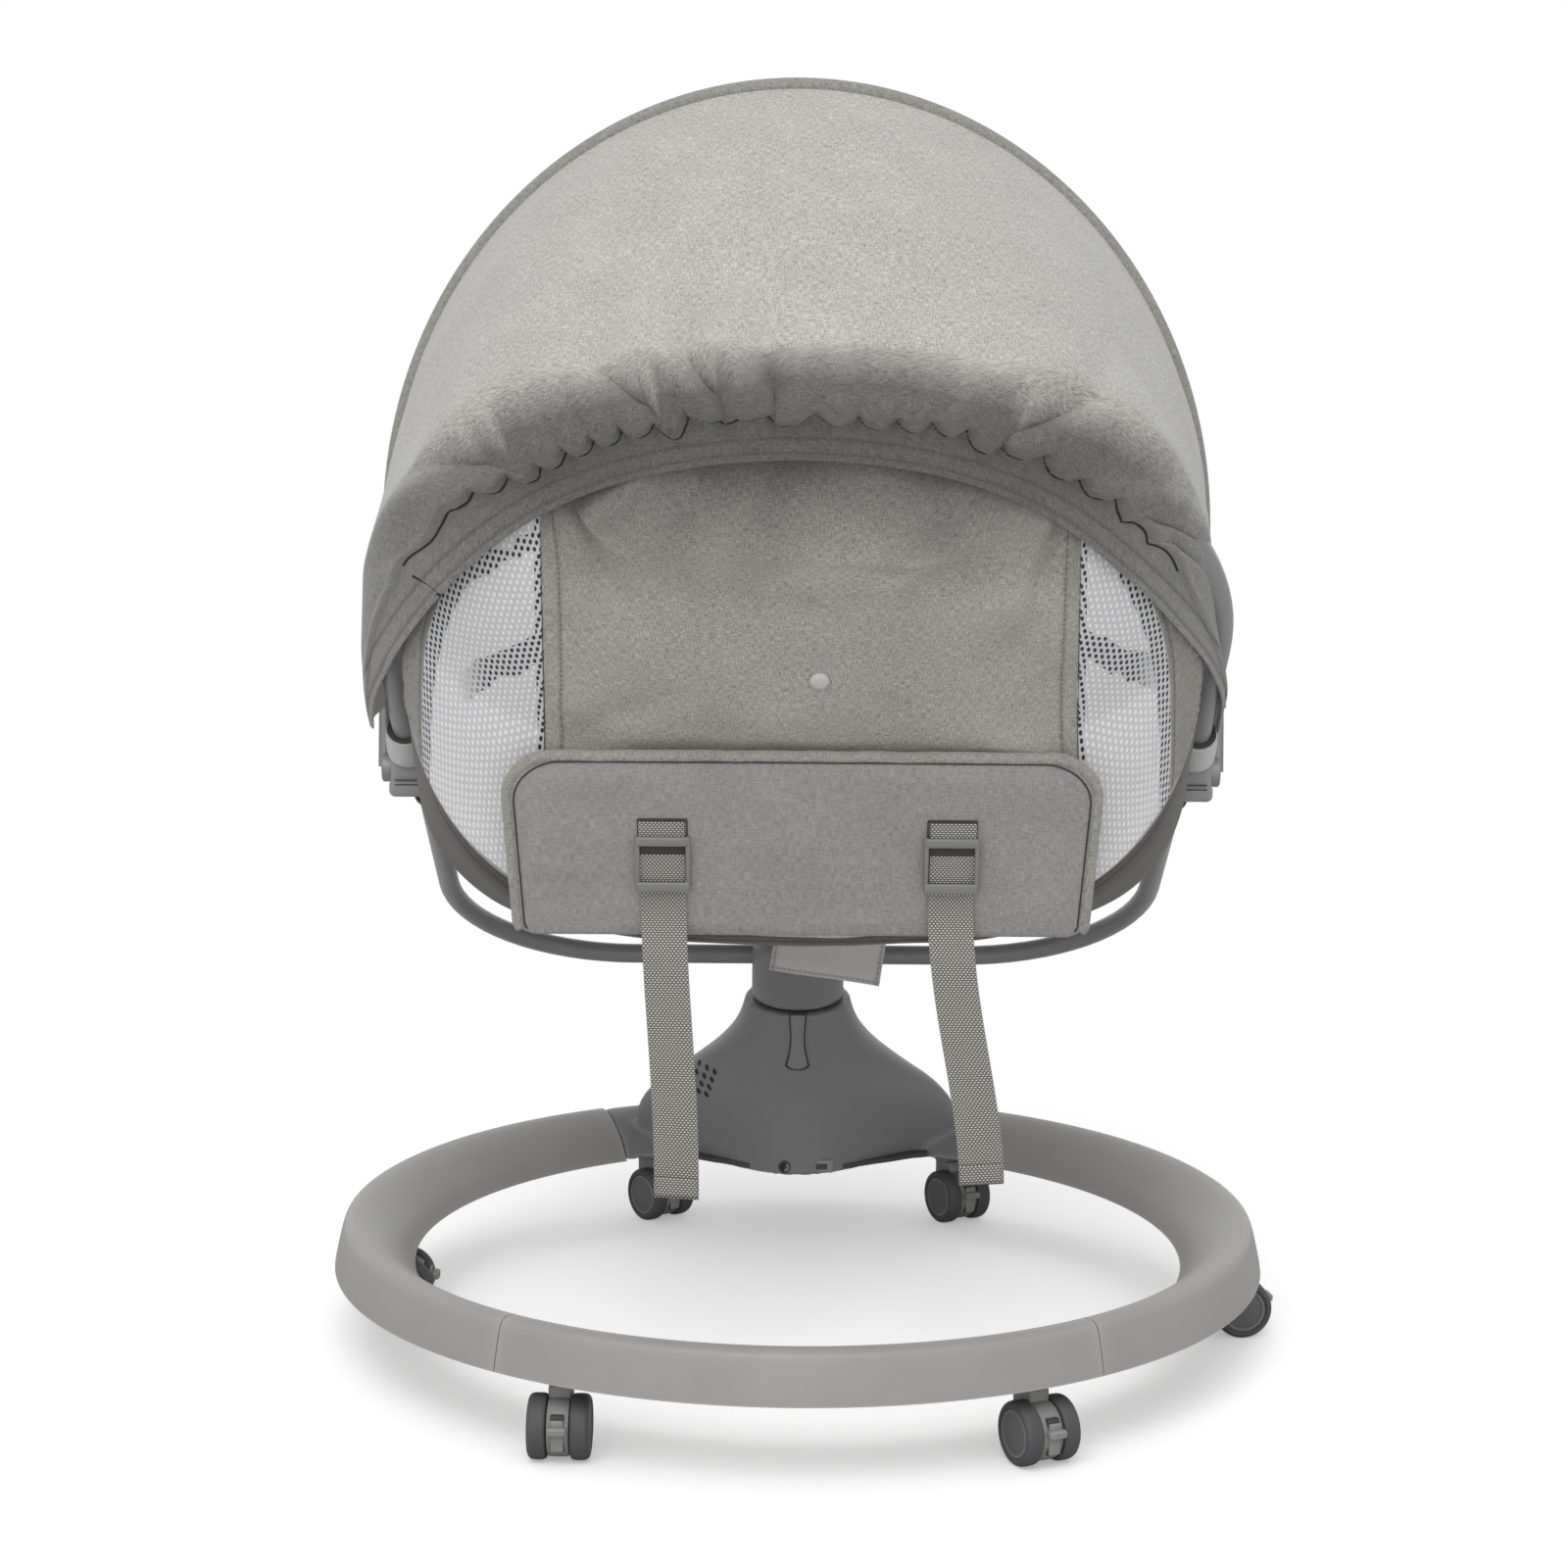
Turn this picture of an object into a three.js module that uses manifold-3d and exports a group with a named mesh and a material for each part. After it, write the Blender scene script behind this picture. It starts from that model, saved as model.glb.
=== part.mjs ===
import * as THREE from 'three';
import * as BufferGeometryUtils from 'three/addons/utils/BufferGeometryUtils.js';
import Module from 'manifold-3d';

// Electric baby cradle: a seat slung in a tube frame swings on the leaning neck of a ring base with castors.
// Millimetres, +Z up, +Y towards the tower and the foot end, origin on the floor under the middle of the whole length.

const wasm = await Module();
wasm.setup();

// Clearances and shared sizes
const seatingGap = 0.3;
const clothGap = 0.8;
const cutOverrun = 3;
const mergeTolerance = 1e-4;
const degree = Math.PI / 180;
const ringCentreBack = 28;

// Castors
const castorWheelRadius = 17.5;
const castorWheelWidth = 10;
const castorDrumWidth = 12.4;
const castorTrail = 12;
const castorAxleRadius = 2.5;
const castorStemRadius = 4;
const castorStemLength = 15;
const castorPlateRadius = 9;
const castorPlateThickness = 2.5;
const castorPlateDrop = 1.2;
const castorLeverWidth = 7;
const castorLeverThickness = 2;
const castorPedalWidth = 10.5;
const castorPedalDepth = 4.5;

// Ring base
const ringOuterRadius = 275;
const ringWidth = 47;
const ringBottom = 44;
const ringHeight = 28;
const ringWall = 3;
const ringSteps = 48;
const ringSeamGap = 0.4;
const ringBossRadius = 8;
const rearArcHalfAngle = 36 * degree;
const towerArcHalfAngle = 29.5 * degree;

// Tower on the far arc
const towerTopHeight = 157;
const towerTopRadius = 32;
const towerBaseHalfWidth = 125;
const towerBackReach = 35;
const towerSpineReach = 20;
const towerWall = 3;
const neckLeanAngle = 11 * degree;
const neckInsideRing = 28;
const towerOutlineSteps = 28;

// Neck, its seal, shaft and bearing
const neckRadius = 30;
const neckHeight = 42;
const neckDomeRise = 5;
const sealThickness = 1.6;
const sealInset = 1.5;
const shaftRadius = 12;
const shaftLength = 82;
const bearingRadius = 19;
const bearingFlange = 3;
const bearingHeight = 12;
const magnetRadius = 16;
const magnetThickness = 6;
const coilRadius = 18;
const coilHeight = 14;

// Release latch in the tower's rear face
const latchWidth = 11;
const latchHeight = 36;
const latchThickness = 2.6;
const latchSinkIn = 1.6;

// Electrics
const plateThickness = 3;
const plateLift = 2;
const boardLength = 64;
const boardWidth = 30;
const boardThickness = 1.6;
const boardLift = 6;
const speakerRadius = 15;
const speakerDepth = 12;
const speakerHoleRadius = 1.3;
const speakerHolePitch = 5.2;
const speakerHolesX = -63;
const speakerHolesBack = 14;
const speakerHolesHeight = 99;
const speakerSeatX = -55.7;
const speakerSeatBack = 4.9;
const jackRadius = 3.7;
const jackLength = 12;
const jackOffset = 7.7;
const usbWidth = 10;
const usbHeight = 4.4;
const usbOffset = 15.4;
const socketHeight = 49.6;
const panelWidth = 46;
const panelHeight = 26;
const panelThickness = 2.4;
const panelCentreHeight = 112;
const buttonRadius = 6;
const buttonProud = 1.4;
const buttonLift = 1.6;
const buttonSpacing = 20;

// Yoke tube
const yokeInsideBox = 6.5;
const yokeTubeRadius = 6.3;
const yokeCornerRadius = 112;
const yokeBottomHeight = 184.5;
const yokeSocketDepth = 1.5;

// Side boxes
const boxHeight = 336;
const boxHalfDepth = 19;
const boxWidth = 27;
const boxTall = 31;
const boxInsideRim = 2.5;
const boxBevel = 2.5;
const innerPlateThickness = 6;
const collarRadius = 11.5;
const collarLength = 17;
const socketDepth = 9;

// Seat rim
const rimHalfWidth = 228;
const boxCentreX = rimHalfWidth - boxInsideRim;
const rimTubeRadius = 7.5;
const rimFlatDepth = 0.6;
const headAngle = 39.2 * degree;
const headLength = 355;
const headStraightLength = 130;
const footAngle = 6 * degree;
const footLength = 342;
const footStraightLength = 180;

// Seat cloth
const seatFloor = 248;
const clothThickness = 3;
const flapTopHalfWidth = 131;
const flapLowHalfWidth = 143;
const wingDropShare = 0.66;
const forwardStartShare = 0.9;
const slingSeamReachShare = 0.2;
const forwardRateShare = 1.6;
const boxRecess = 20;
const boxRecessBack = 55;
const boxRecessFront = 150;
const headPowers = [3, 1.7];
const footPowers = [4.2, 4.2];
const padThickness = 12;
const padGap = 4.2;
const padHalfWidth = 150;
const padLimitAngle = 52 * degree;

// Rear board with its straps
const boardTopShares = [0.55, 0.3777];
const boardLowShares = [0.4046, 0.0288];
const boardTopHalfWidth = 165;
const boardLowHalfWidth = 160;
const boardThick = 7;
const boardTopCorner = 30;
const boardLowCorner = 7;
const strapWidth = 25;
const strapThickness = 1.6;
const strapSpacing = 158;
const strapMiddleX = 3;
const strapSlitShare = 0.642;
const strapLengths = [215, 208];
const strapLeans = [3, 16];
const strapLeanFrom = 0.25;
const buckleWidth = 30;
const buckleHeight = 35;
const buckleRail = 2;
const buckleBar = 4;
const buckleDrop = 3;

// Canopy
const bowOutsideRim = 16;
const bowHalfWidth = rimHalfWidth + bowOutsideRim;
const bowTubeRadius = 4;
const bowLegLength = 145;
const bowRise = 256;
const bowLeanAngle = 8.5 * degree;
const bowDiscRadius = 9;
const bowDiscThickness = 6;
const bowPinRadius = 3;
const bowPinLength = 5;
const canopyThickness = 2.4;
const foldOut = 22;
const foldUp = 2;
const canopyFootShare = 0.035;
const canopyBandShare = 0.68;
const canopySwell = 6;
const hemReach = 20;
const hemOutShares = [0.7, 0.4, -0.3, -0.75, -1, -1.1, -1.1, -1.1, -1.15, -1.2, -1.2];
const hemUpShares = [0, -0.4, -0.8, -1.2, -1.4, -1.45, -1.35, -1.25, -1.2, -1.2, -1.2];
const bulgeOutShares = [1, 1, 0.95, 0.8, 0.7, 0.6, 0.55, 0.55, 0.55, 0.55, 0.55];
const bulgeUpShares = [0.1, -0.4, -0.7, -0.75, -0.75, -0.7, -0.65, -0.6, -0.55, -0.55, -0.55];
const ruffleDepth = 4;
const ruffleCount = 11;

// Small sewn and fitted things
const tagWidth = 66;
const tagHeight = 42;
const tagThickness = 0.8;
const tagTurnAngle = -9 * degree;
const tagX = 16;

// Finishes: colour, roughness, metalness
const finishes = {
  plastic: [0x9a9a97, 0.42, 0],
  tower: [0x8c8c8d, 0.42, 0],
  dark: [0x2c2c2e, 0.6, 0],
  tyre: [0x55555a, 0.5, 0],
  castorBody: [0x8b8d88, 0.5, 0],
  tube: [0x858587, 0.35, 0.2],
  box: [0x7f7f81, 0.45, 0],
  collar: [0x9b9b9b, 0.4, 0],
  linen: [0xa6a59f, 0.9, 0],
  panelCloth: [0x938e8e, 0.9, 0],
  mesh: [0xdcdcda, 0.9, 0],
  lining: [0x544f4f, 0.95, 0],
  webbing: [0x898882, 0.85, 0],
  buckle: [0x72726f, 0.5, 0],
  tag: [0xeceae6, 0.9, 0],
  steel: [0xb5b8bc, 0.35, 0.9],
  copper: [0xa8703c, 0.4, 0.8],
  circuit: [0x2f5d43, 0.6, 0],
};

const cradle = new THREE.Group();
cradle.name = 'cradle';
cradle.position.y = -ringCentreBack;

// A closed solid made from any closed geometry, with doubled corners merged and faces turned outwards
function solidFrom(geometry) {
  const bare = geometry.clone();
  bare.deleteAttribute('normal');
  bare.deleteAttribute('uv');
  const merged = BufferGeometryUtils.mergeVertices(bare, mergeTolerance);
  const place = merged.attributes.position;
  const corners = [];
  const a = new THREE.Vector3();
  const b = new THREE.Vector3();
  const c = new THREE.Vector3();
  let volume = 0;
  for (let i = 0; i < merged.index.count; i += 3) {
    const trio = [0, 1, 2].map((k) => merged.index.getX(i + k));
    if (trio[0] === trio[1] || trio[1] === trio[2] || trio[2] === trio[0]) continue;
    corners.push(...trio);
    a.fromBufferAttribute(place, trio[0]);
    b.fromBufferAttribute(place, trio[1]);
    c.fromBufferAttribute(place, trio[2]);
    volume += a.dot(b.cross(c));
  }
  if (volume < 0) corners.reverse();
  return new wasm.Manifold(new wasm.Mesh({
    numProp: 3,
    vertProperties: new Float32Array(place.array),
    triVerts: new Uint32Array(corners),
  }));
}

function geometryFrom(solid) {
  const mesh = solid.getMesh();
  const geometry = new THREE.BufferGeometry();
  geometry.setAttribute('position', new THREE.BufferAttribute(mesh.vertProperties, 3));
  geometry.setIndex(new THREE.BufferAttribute(mesh.triVerts, 1));
  geometry.computeVertexNormals();
  return geometry;
}

function addPiece(name, shape, finish, parent = cradle) {
  const [color, roughness, metalness] = finishes[finish];
  const solid = shape.isBufferGeometry ? solidFrom(shape) : shape;
  const material = new THREE.MeshStandardMaterial({ color, roughness, metalness });
  const mesh = new THREE.Mesh(geometryFrom(solid), material);
  mesh.name = name;
  parent.add(mesh);
  return mesh;
}

function joinAll(solids) {
  return solids.reduce((whole, next) => whole.add(next));
}

function cutAll(body, solids) {
  return solids.reduce((rest, next) => rest.subtract(next), body);
}

function placed(geometry, matrix) {
  return geometry.applyMatrix4(matrix);
}

function moved(geometry, x, y, z) {
  return geometry.translate(x, y, z);
}

function block(width, depth, height, x = 0, y = 0, z = 0) {
  return moved(new THREE.BoxGeometry(width, depth, height), x, y, z);
}

// A round bar on the Z axis from its bottom at z = 0
function bar(radius, height, sides) {
  const geometry = new THREE.CylinderGeometry(radius, radius, height, sides);
  return geometry.rotateX(Math.PI / 2).translate(0, 0, height / 2);
}

// A turned shape about the Z axis from [radius, height] pairs
function turned(pairs, steps) {
  const profile = pairs.map(([radius, height]) => new THREE.Vector2(radius, height));
  return new THREE.LatheGeometry(profile, steps).rotateX(Math.PI / 2);
}

// A slab whose outline lies in X and Z and whose thickness runs along Y, centred on y = 0
function slab(shape, thickness, bevel, curveSteps) {
  const settings = {
    depth: thickness - 2 * bevel,
    bevelEnabled: bevel > 0,
    bevelThickness: bevel,
    bevelSize: bevel,
    bevelOffset: -bevel,
    bevelSegments: 1,
    curveSegments: curveSteps,
  };
  const geometry = new THREE.ExtrudeGeometry(shape, settings);
  return geometry.translate(0, 0, -settings.depth / 2).rotateX(Math.PI / 2);
}

function roundedShape(halfWidth, halfHeight, corner) {
  const shape = new THREE.Shape();
  const x = halfWidth - corner;
  const z = halfHeight - corner;
  shape.absarc(x, z, corner, 0, Math.PI / 2);
  shape.absarc(-x, z, corner, Math.PI / 2, Math.PI);
  shape.absarc(-x, -z, corner, Math.PI, Math.PI * 1.5);
  shape.absarc(x, -z, corner, Math.PI * 1.5, Math.PI * 2);
  return shape;
}

// A round tube along a curve
function tube(curve, radius, sides, steps) {
  const circle = new THREE.Shape();
  circle.absarc(0, 0, radius, 0, Math.PI * 2);
  const settings = { steps, extrudePath: curve, curveSegments: sides / 2, bevelEnabled: false };
  return new THREE.ExtrudeGeometry(circle, settings);
}

// A closed skin lofted through rings of points, capped at both ends
function loft(rings) {
  const count = rings[0].length;
  const places = rings.flat().flatMap((point) => [point.x, point.y, point.z]);
  const faces = [];
  for (let i = 0; i < rings.length - 1; i += 1) {
    for (let k = 0; k < count; k += 1) {
      const next = (k + 1) % count;
      const low = i * count;
      const high = low + count;
      faces.push(low + k, low + next, high + next, low + k, high + next, high + k);
    }
  }
  const last = (rings.length - 1) * count;
  const flat = rings[0].map((point) => new THREE.Vector2(point.x, point.y));
  for (const [a, b, c] of THREE.ShapeUtils.triangulateShape(flat, [])) {
    faces.push(a, c, b, last + a, last + b, last + c);
  }
  const geometry = new THREE.BufferGeometry();
  geometry.setAttribute('position', new THREE.Float32BufferAttribute(places, 3));
  geometry.setIndex(faces);
  return geometry;
}

// A cloth sheet of even thickness on a surface pointAt(u, v), u and v from 0 to 1
function sheet(pointAt, thickness, acrossSteps, alongSteps, offset = 0) {
  const places = [];
  const nudge = 1e-3;
  const columns = alongSteps + 1;
  const total = (acrossSteps + 1) * columns;
  const normalAt = (u, v) => {
    const [u0, u1] = [Math.max(u - nudge, 0), Math.min(u + nudge, 1)];
    const [v0, v1] = [Math.max(v - nudge, 0), Math.min(v + nudge, 1)];
    const across = pointAt(u1, v).sub(pointAt(u0, v));
    const along = pointAt(u, v1).sub(pointAt(u, v0));
    return across.cross(along).normalize();
  };
  for (const side of [0.5, -0.5]) {
    for (let i = 0; i <= acrossSteps; i += 1) {
      for (let k = 0; k <= alongSteps; k += 1) {
        const [u, v] = [i / acrossSteps, k / alongSteps];
        const point = pointAt(u, v).addScaledVector(normalAt(u, v), side * thickness + offset);
        places.push(point.x, point.y, point.z);
      }
    }
  }
  const faces = [];
  const quad = (a, b, c, d) => faces.push(a, b, c, a, c, d);
  for (let i = 0; i < acrossSteps; i += 1) {
    for (let k = 0; k < alongSteps; k += 1) {
      const a = i * columns + k;
      quad(a, a + columns, a + columns + 1, a + 1);
      quad(total + a, total + a + 1, total + a + columns + 1, total + a + columns);
    }
  }
  for (let i = 0; i < acrossSteps; i += 1) {
    const start = i * columns;
    const end = start + alongSteps;
    quad(start, total + start, total + start + columns, start + columns);
    quad(end, end + columns, total + end + columns, total + end);
  }
  for (let k = 0; k < alongSteps; k += 1) {
    const far = acrossSteps * columns + k;
    quad(k, k + 1, total + k + 1, total + k);
    quad(far, total + far, total + far + 1, far + 1);
  }
  const geometry = new THREE.BufferGeometry();
  geometry.setAttribute('position', new THREE.Float32BufferAttribute(places, 3));
  geometry.setIndex(faces);
  return geometry;
}

function mix(from, to, share) {
  return from + (to - from) * share;
}

// The value of an evenly spaced table at a share of its length
function tableAt(shares, share) {
  const place = Math.min(Math.max(share, 0), 1) * (shares.length - 1);
  const low = Math.min(Math.floor(place), shares.length - 2);
  return mix(shares[low], shares[low + 1], place - low);
}

function smooth(share) {
  const held = Math.min(Math.max(share, 0), 1);
  return held * held * (3 - 2 * held);
}

// Ring base: a hollow moulding open below, cut in four arcs
const ringInnerRadius = ringOuterRadius - ringWidth;
const ringTop = ringBottom + ringHeight;
const neckCentreY = ringInnerRadius - neckInsideRing;
const towerBaseBack = neckCentreY - towerBackReach;
const towerSpineRadius = ringInnerRadius + towerSpineReach;
const ringOutsideShares = [
  [1, 0], [0.97, 0.25], [0.88, 0.84], [0.82, 0.98], [0.74, 1], [0.62, 0.96], [0.4, 0.76], [0.16, 0.42], [0, 0],
];
const ringInsideShares = [[1, 0], [0.86, 0.9], [0.74, 0.99], [0.4, 0.74], [0, 0]];

function ringSolid(shares, inset, bottom) {
  const width = ringWidth - 2 * inset;
  const height = ringTop - inset - bottom;
  const pairs = shares.map(([across, up]) => [ringInnerRadius + inset + across * width, bottom + up * height]);
  return solidFrom(turned([...pairs, pairs[0]], ringSteps));
}

function sector(fromAngle, toAngle) {
  const reach = ringOuterRadius * 1.6;
  const shape = new THREE.Shape();
  const middle = (fromAngle + toAngle) / 2;
  shape.moveTo(0, 0);
  for (const angle of [fromAngle, (fromAngle + middle) / 2, middle, (toAngle + middle) / 2, toAngle]) {
    shape.lineTo(reach * Math.cos(angle), reach * Math.sin(angle));
  }
  return solidFrom(new THREE.ExtrudeGeometry(shape, { depth: towerTopHeight * 1.2, bevelEnabled: false }));
}

const ringForm = ringSolid(ringOutsideShares, 0, ringBottom);
const ringShell = ringForm.subtract(ringSolid(ringInsideShares, ringWall, ringBottom - cutOverrun));

// Castor places, counted from the right-hand rear round the ring, with the way each one trails
const castorCircleRadius = (ringInnerRadius + ringOuterRadius) / 2;
const castorPlaces = [
  { name: 'rear_right', angle: -61 * degree, trail: -64 * degree },
  { name: 'right', angle: -3 * degree, trail: 8 * degree },
  { name: 'front_right', angle: 66 * degree, trail: -60 * degree },
  { name: 'front_left', angle: 113 * degree, trail: -52 * degree },
  { name: 'left', angle: 175 * degree, trail: 2 * degree },
  { name: 'rear_left', angle: -120 * degree, trail: -92 * degree },
];

function castorCentre(place) {
  return [castorCircleRadius * Math.cos(place.angle), castorCircleRadius * Math.sin(place.angle)];
}

// Bosses under the ring's ridge take the castor stems; they are kept inside the moulding's outer form
function castorBosses(arc, form) {
  let result = arc;
  for (const place of castorPlaces) {
    const [x, y] = castorCentre(place);
    const boss = solidFrom(moved(bar(ringBossRadius, ringTop, 12), x, y, ringBottom)).intersect(form);
    if (boss.volume() > 0) {
      const hole = bar(castorStemRadius + seatingGap, castorStemLength + cutOverrun * 2, 12);
      result = result.add(boss).subtract(solidFrom(moved(hole, x, y, ringBottom - cutOverrun)));
    }
  }
  return result;
}

const seamAngle = ringSeamGap / ringOuterRadius;
const rearFrom = -Math.PI / 2 - rearArcHalfAngle;
const rearTo = -Math.PI / 2 + rearArcHalfAngle;
const towerFrom = Math.PI / 2 - towerArcHalfAngle;
const towerTo = Math.PI / 2 + towerArcHalfAngle;
const rearSector = sector(rearFrom, rearTo);
const rightSector = sector(rearTo + seamAngle, towerFrom - seamAngle);
const leftSector = sector(towerTo + seamAngle, rearFrom + 2 * Math.PI - seamAngle);
const towerSector = sector(towerFrom, towerTo);

function ringArc(wedge) {
  return castorBosses(ringShell.intersect(wedge), ringForm.intersect(wedge));
}

addPiece('ring_rear', ringArc(rearSector), 'plastic');
addPiece('ring_right', ringArc(rightSector), 'plastic');
addPiece('ring_left', ringArc(leftSector), 'plastic');

// Tower: a flared shell that grows out of the far arc, its top square to the leaning neck
const neckAxis = new THREE.Vector3(0, -Math.sin(neckLeanAngle), Math.cos(neckLeanAngle));
const neckFoot = new THREE.Vector3(0, neckCentreY, towerTopHeight);
const neckMatrix = new THREE.Matrix4().makeRotationX(neckLeanAngle).setPosition(neckFoot);
const towerHeightShares = [0, 0.14, 0.27, 0.37, 0.48, 0.6, 0.74, 0.88, 1.06];
const towerHalfWidthShares = [1, 1.055, 1.03, 0.9, 0.72, 0.56, 0.405, 0.31, 0.262];
const towerSpineShares = [1, 0.9, 0.77, 0.66, 0.53, 0.38, 0.22, 0.09, 0];
const towerBellShares = [1, 0.98, 0.87, 0.7, 0.46, 0.23, 0.07, 0, 0];
const towerFrontShares = [1, 0.94, 0.83, 0.72, 0.59, 0.45, 0.295, 0.13, 0.02];
const towerBackShares = [0, 0.015, 0.03, 0.04, 0.045, 0.05, 0.05, 0.05, 0.05];
const towerRun = towerTopHeight - ringBottom;

function towerRing(index, inset) {
  const height = ringBottom + towerHeightShares[index] * towerRun;
  const halfWidth = towerBaseHalfWidth * towerHalfWidthShares[index] - inset;
  const spine = mix(neckCentreY, towerSpineRadius, towerSpineShares[index]);
  const bell = towerBellShares[index];
  const backEdge = towerBaseBack + towerBackShares[index] * ringWidth + inset;
  const frontReach = mix(neckCentreY + towerTopRadius, ringOuterRadius - ringWall, towerFrontShares[index]);
  const frontEdge = frontReach - inset;
  const points = [];
  for (let k = 0; k < towerOutlineSteps; k += 1) {
    const turn = (k / towerOutlineSteps) * Math.PI * 2;
    const across = Math.cos(turn);
    const x = halfWidth * across;
    const round = Math.sin(turn);
    const bellShape = Math.sign(round) * (1 + Math.cos(Math.PI * across)) / 2;
    const depth = mix(round, bellShape, bell * 0.82);
    const spineDrop = bell * (towerSpineRadius - Math.sqrt(towerSpineRadius ** 2 - x ** 2));
    const reach = depth > 0 ? frontEdge - spine : spine - backEdge;
    points.push(new THREE.Vector3(x, spine - spineDrop + depth * reach, height));
  }
  return points;
}

function towerLoft(inset, fromIndex) {
  const rings = [];
  for (let i = fromIndex; i < towerHeightShares.length; i += 1) rings.push(towerRing(i, inset));
  return rings;
}

function halfSpaceAbove(offset) {
  const size = towerTopRadius * 12;
  const geometry = block(size, size, size, 0, 0, size / 2 + offset);
  return solidFrom(placed(geometry, neckMatrix));
}

const towerOuter = solidFrom(loft(towerLoft(0, 0))).subtract(halfSpaceAbove(0));

function towerCavity(inset) {
  const rings = towerLoft(inset, 0);
  for (const point of rings[0]) point.z -= cutOverrun;
  return solidFrom(loft(rings)).subtract(halfSpaceAbove(-inset));
}

const towerInner = towerCavity(towerWall);
const shaftBore = solidFrom(placed(moved(bar(bearingRadius, towerWall * 4, 20), 0, 0, -towerWall * 2), neckMatrix));

// Sockets in the tower's foot, the latch recess, the speaker holes and the control plate's seat
const rearFaceY = towerBaseBack;
const jackPlace = [-jackOffset, rearFaceY, socketHeight];
const usbPlace = [usbOffset, rearFaceY, socketHeight];

function alongY(geometry, x, y, z) {
  return moved(geometry.rotateX(-Math.PI / 2), x, y, z);
}

const jackHole = solidFrom(alongY(bar(jackRadius + seatingGap, jackLength, 16), jackPlace[0],
  jackPlace[1] - cutOverrun, jackPlace[2]));
const usbHole = solidFrom(block(usbWidth + 2 * seatingGap, jackLength * 2, usbHeight + 2 * seatingGap, ...usbPlace));

const latchCentreY = towerBaseBack + towerBackShares[5] * ringWidth;
const latchCentre = new THREE.Vector3(0, latchCentreY, towerTopHeight - latchHeight * 0.68);
const latchShape = new THREE.Shape();
latchShape.moveTo(-latchWidth * 0.36, latchHeight * 0.5);
latchShape.lineTo(-latchWidth * 0.3, latchHeight * 0.12);
latchShape.quadraticCurveTo(-latchWidth * 0.32, -latchHeight * 0.2, -latchWidth * 0.5, -latchHeight * 0.42);
latchShape.quadraticCurveTo(0, -latchHeight * 0.54, latchWidth * 0.5, -latchHeight * 0.42);
latchShape.quadraticCurveTo(latchWidth * 0.32, -latchHeight * 0.2, latchWidth * 0.3, latchHeight * 0.12);
latchShape.lineTo(latchWidth * 0.36, latchHeight * 0.5);
latchShape.closePath();
const latchRecessWidth = latchWidth + latchThickness;
const latchRecess = solidFrom(block(latchRecessWidth, latchHeight, latchHeight + latchThickness, latchCentre.x,
  latchCentre.y - latchHeight / 2 + latchSinkIn, latchCentre.z));

const speakerCentre = [speakerHolesX, neckCentreY - speakerHolesBack, speakerHolesHeight];
const speakerFacingAngle = -28 * degree;
const speakerTiltAngle = 12 * degree;
const speakerSeat = [speakerSeatX, neckCentreY - speakerSeatBack, speakerHolesHeight - seatingGap];
const speakerHoles = [];
for (let row = -1; row <= 2; row += 1) {
  for (let column = -1; column <= 1; column += 1) {
    const x = speakerCentre[0] + (column + row * 0.35) * speakerHolePitch;
    const z = speakerCentre[2] + row * speakerHolePitch - column * speakerHolePitch * 0.3;
    const hole = bar(speakerHoleRadius, speakerHolePitch * 8, 6);
    speakerHoles.push(solidFrom(alongY(hole, x, speakerCentre[1] - speakerHolePitch * 5, z)));
  }
}

const panelSlopeAngle = Math.atan2((ringOuterRadius - neckCentreY - towerTopRadius) * 0.8, towerRun);
const panelY = mix(neckCentreY + towerTopRadius, ringOuterRadius, 0.395);
const panelMatrix = new THREE.Matrix4().makeRotationX(panelSlopeAngle)
  .setPosition(new THREE.Vector3(0, panelY, panelCentreHeight));
const panelCorner = panelHeight * 0.3;

function panelSlab(grow, thickness, push) {
  const shape = roundedShape(panelWidth / 2 + grow, panelHeight / 2 + grow, panelCorner + grow);
  return placed(slab(shape, thickness, 0, 3).translate(0, push, 0), panelMatrix);
}

const panelSeat = solidFrom(panelSlab(seatingGap, panelThickness * 6, panelThickness * 3));
const towerFlare = towerOuter.intersect(towerSector);
const towerArc = ringShell.intersect(towerSector);
const towerForm = towerFlare.add(ringForm.intersect(towerSector));
const towerParts = castorBosses(towerFlare.add(towerArc).subtract(towerInner), towerForm);
const towerCuts = [shaftBore, jackHole, usbHole, latchRecess, ...speakerHoles, panelSeat];
addPiece('tower_shell', cutAll(towerParts, towerCuts), 'tower');

// The base plate closes the tower from below and carries the drive and the electronics
const plateBottom = ringBottom + plateLift;
const plateTop = plateBottom + plateThickness;
const frontCastorXs = [castorPlaces[2], castorPlaces[3]].map((place) => Math.abs(castorCentre(place)[0]));
const plateHalfWidth = Math.min(...frontCastorXs) - ringBossRadius - cutOverrun;
const plateRoom = towerCavity(towerWall + seatingGap);
const plateNotch = block(usbOffset * 4, jackLength * 3, plateThickness * 6, 0, rearFaceY, plateTop);
const plateMiddle = mix(plateBottom, plateTop, 0.5);
const plateLimit = block(plateHalfWidth * 2, ringOuterRadius, plateThickness, 0, neckCentreY, plateMiddle);
const plateSolid = plateRoom.intersect(solidFrom(plateLimit)).subtract(solidFrom(plateNotch));
addPiece('base_plate', plateSolid, 'dark');

// Swing drive: a coil on the plate pushes the magnet on the neck's shaft to and fro
const coilY = neckCentreY + (towerTopHeight - plateTop) * Math.tan(neckLeanAngle);
const coilPairs = [
  [0, 0], [coilRadius, 0], [coilRadius, coilHeight * 0.15], [coilRadius * 0.85, coilHeight * 0.2],
  [coilRadius * 0.85, coilHeight * 0.8], [coilRadius, coilHeight * 0.85], [coilRadius, coilHeight], [0, coilHeight],
];
addPiece('drive_coil', moved(turned(coilPairs, 16), 0, coilY, plateTop + seatingGap), 'copper');

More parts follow.
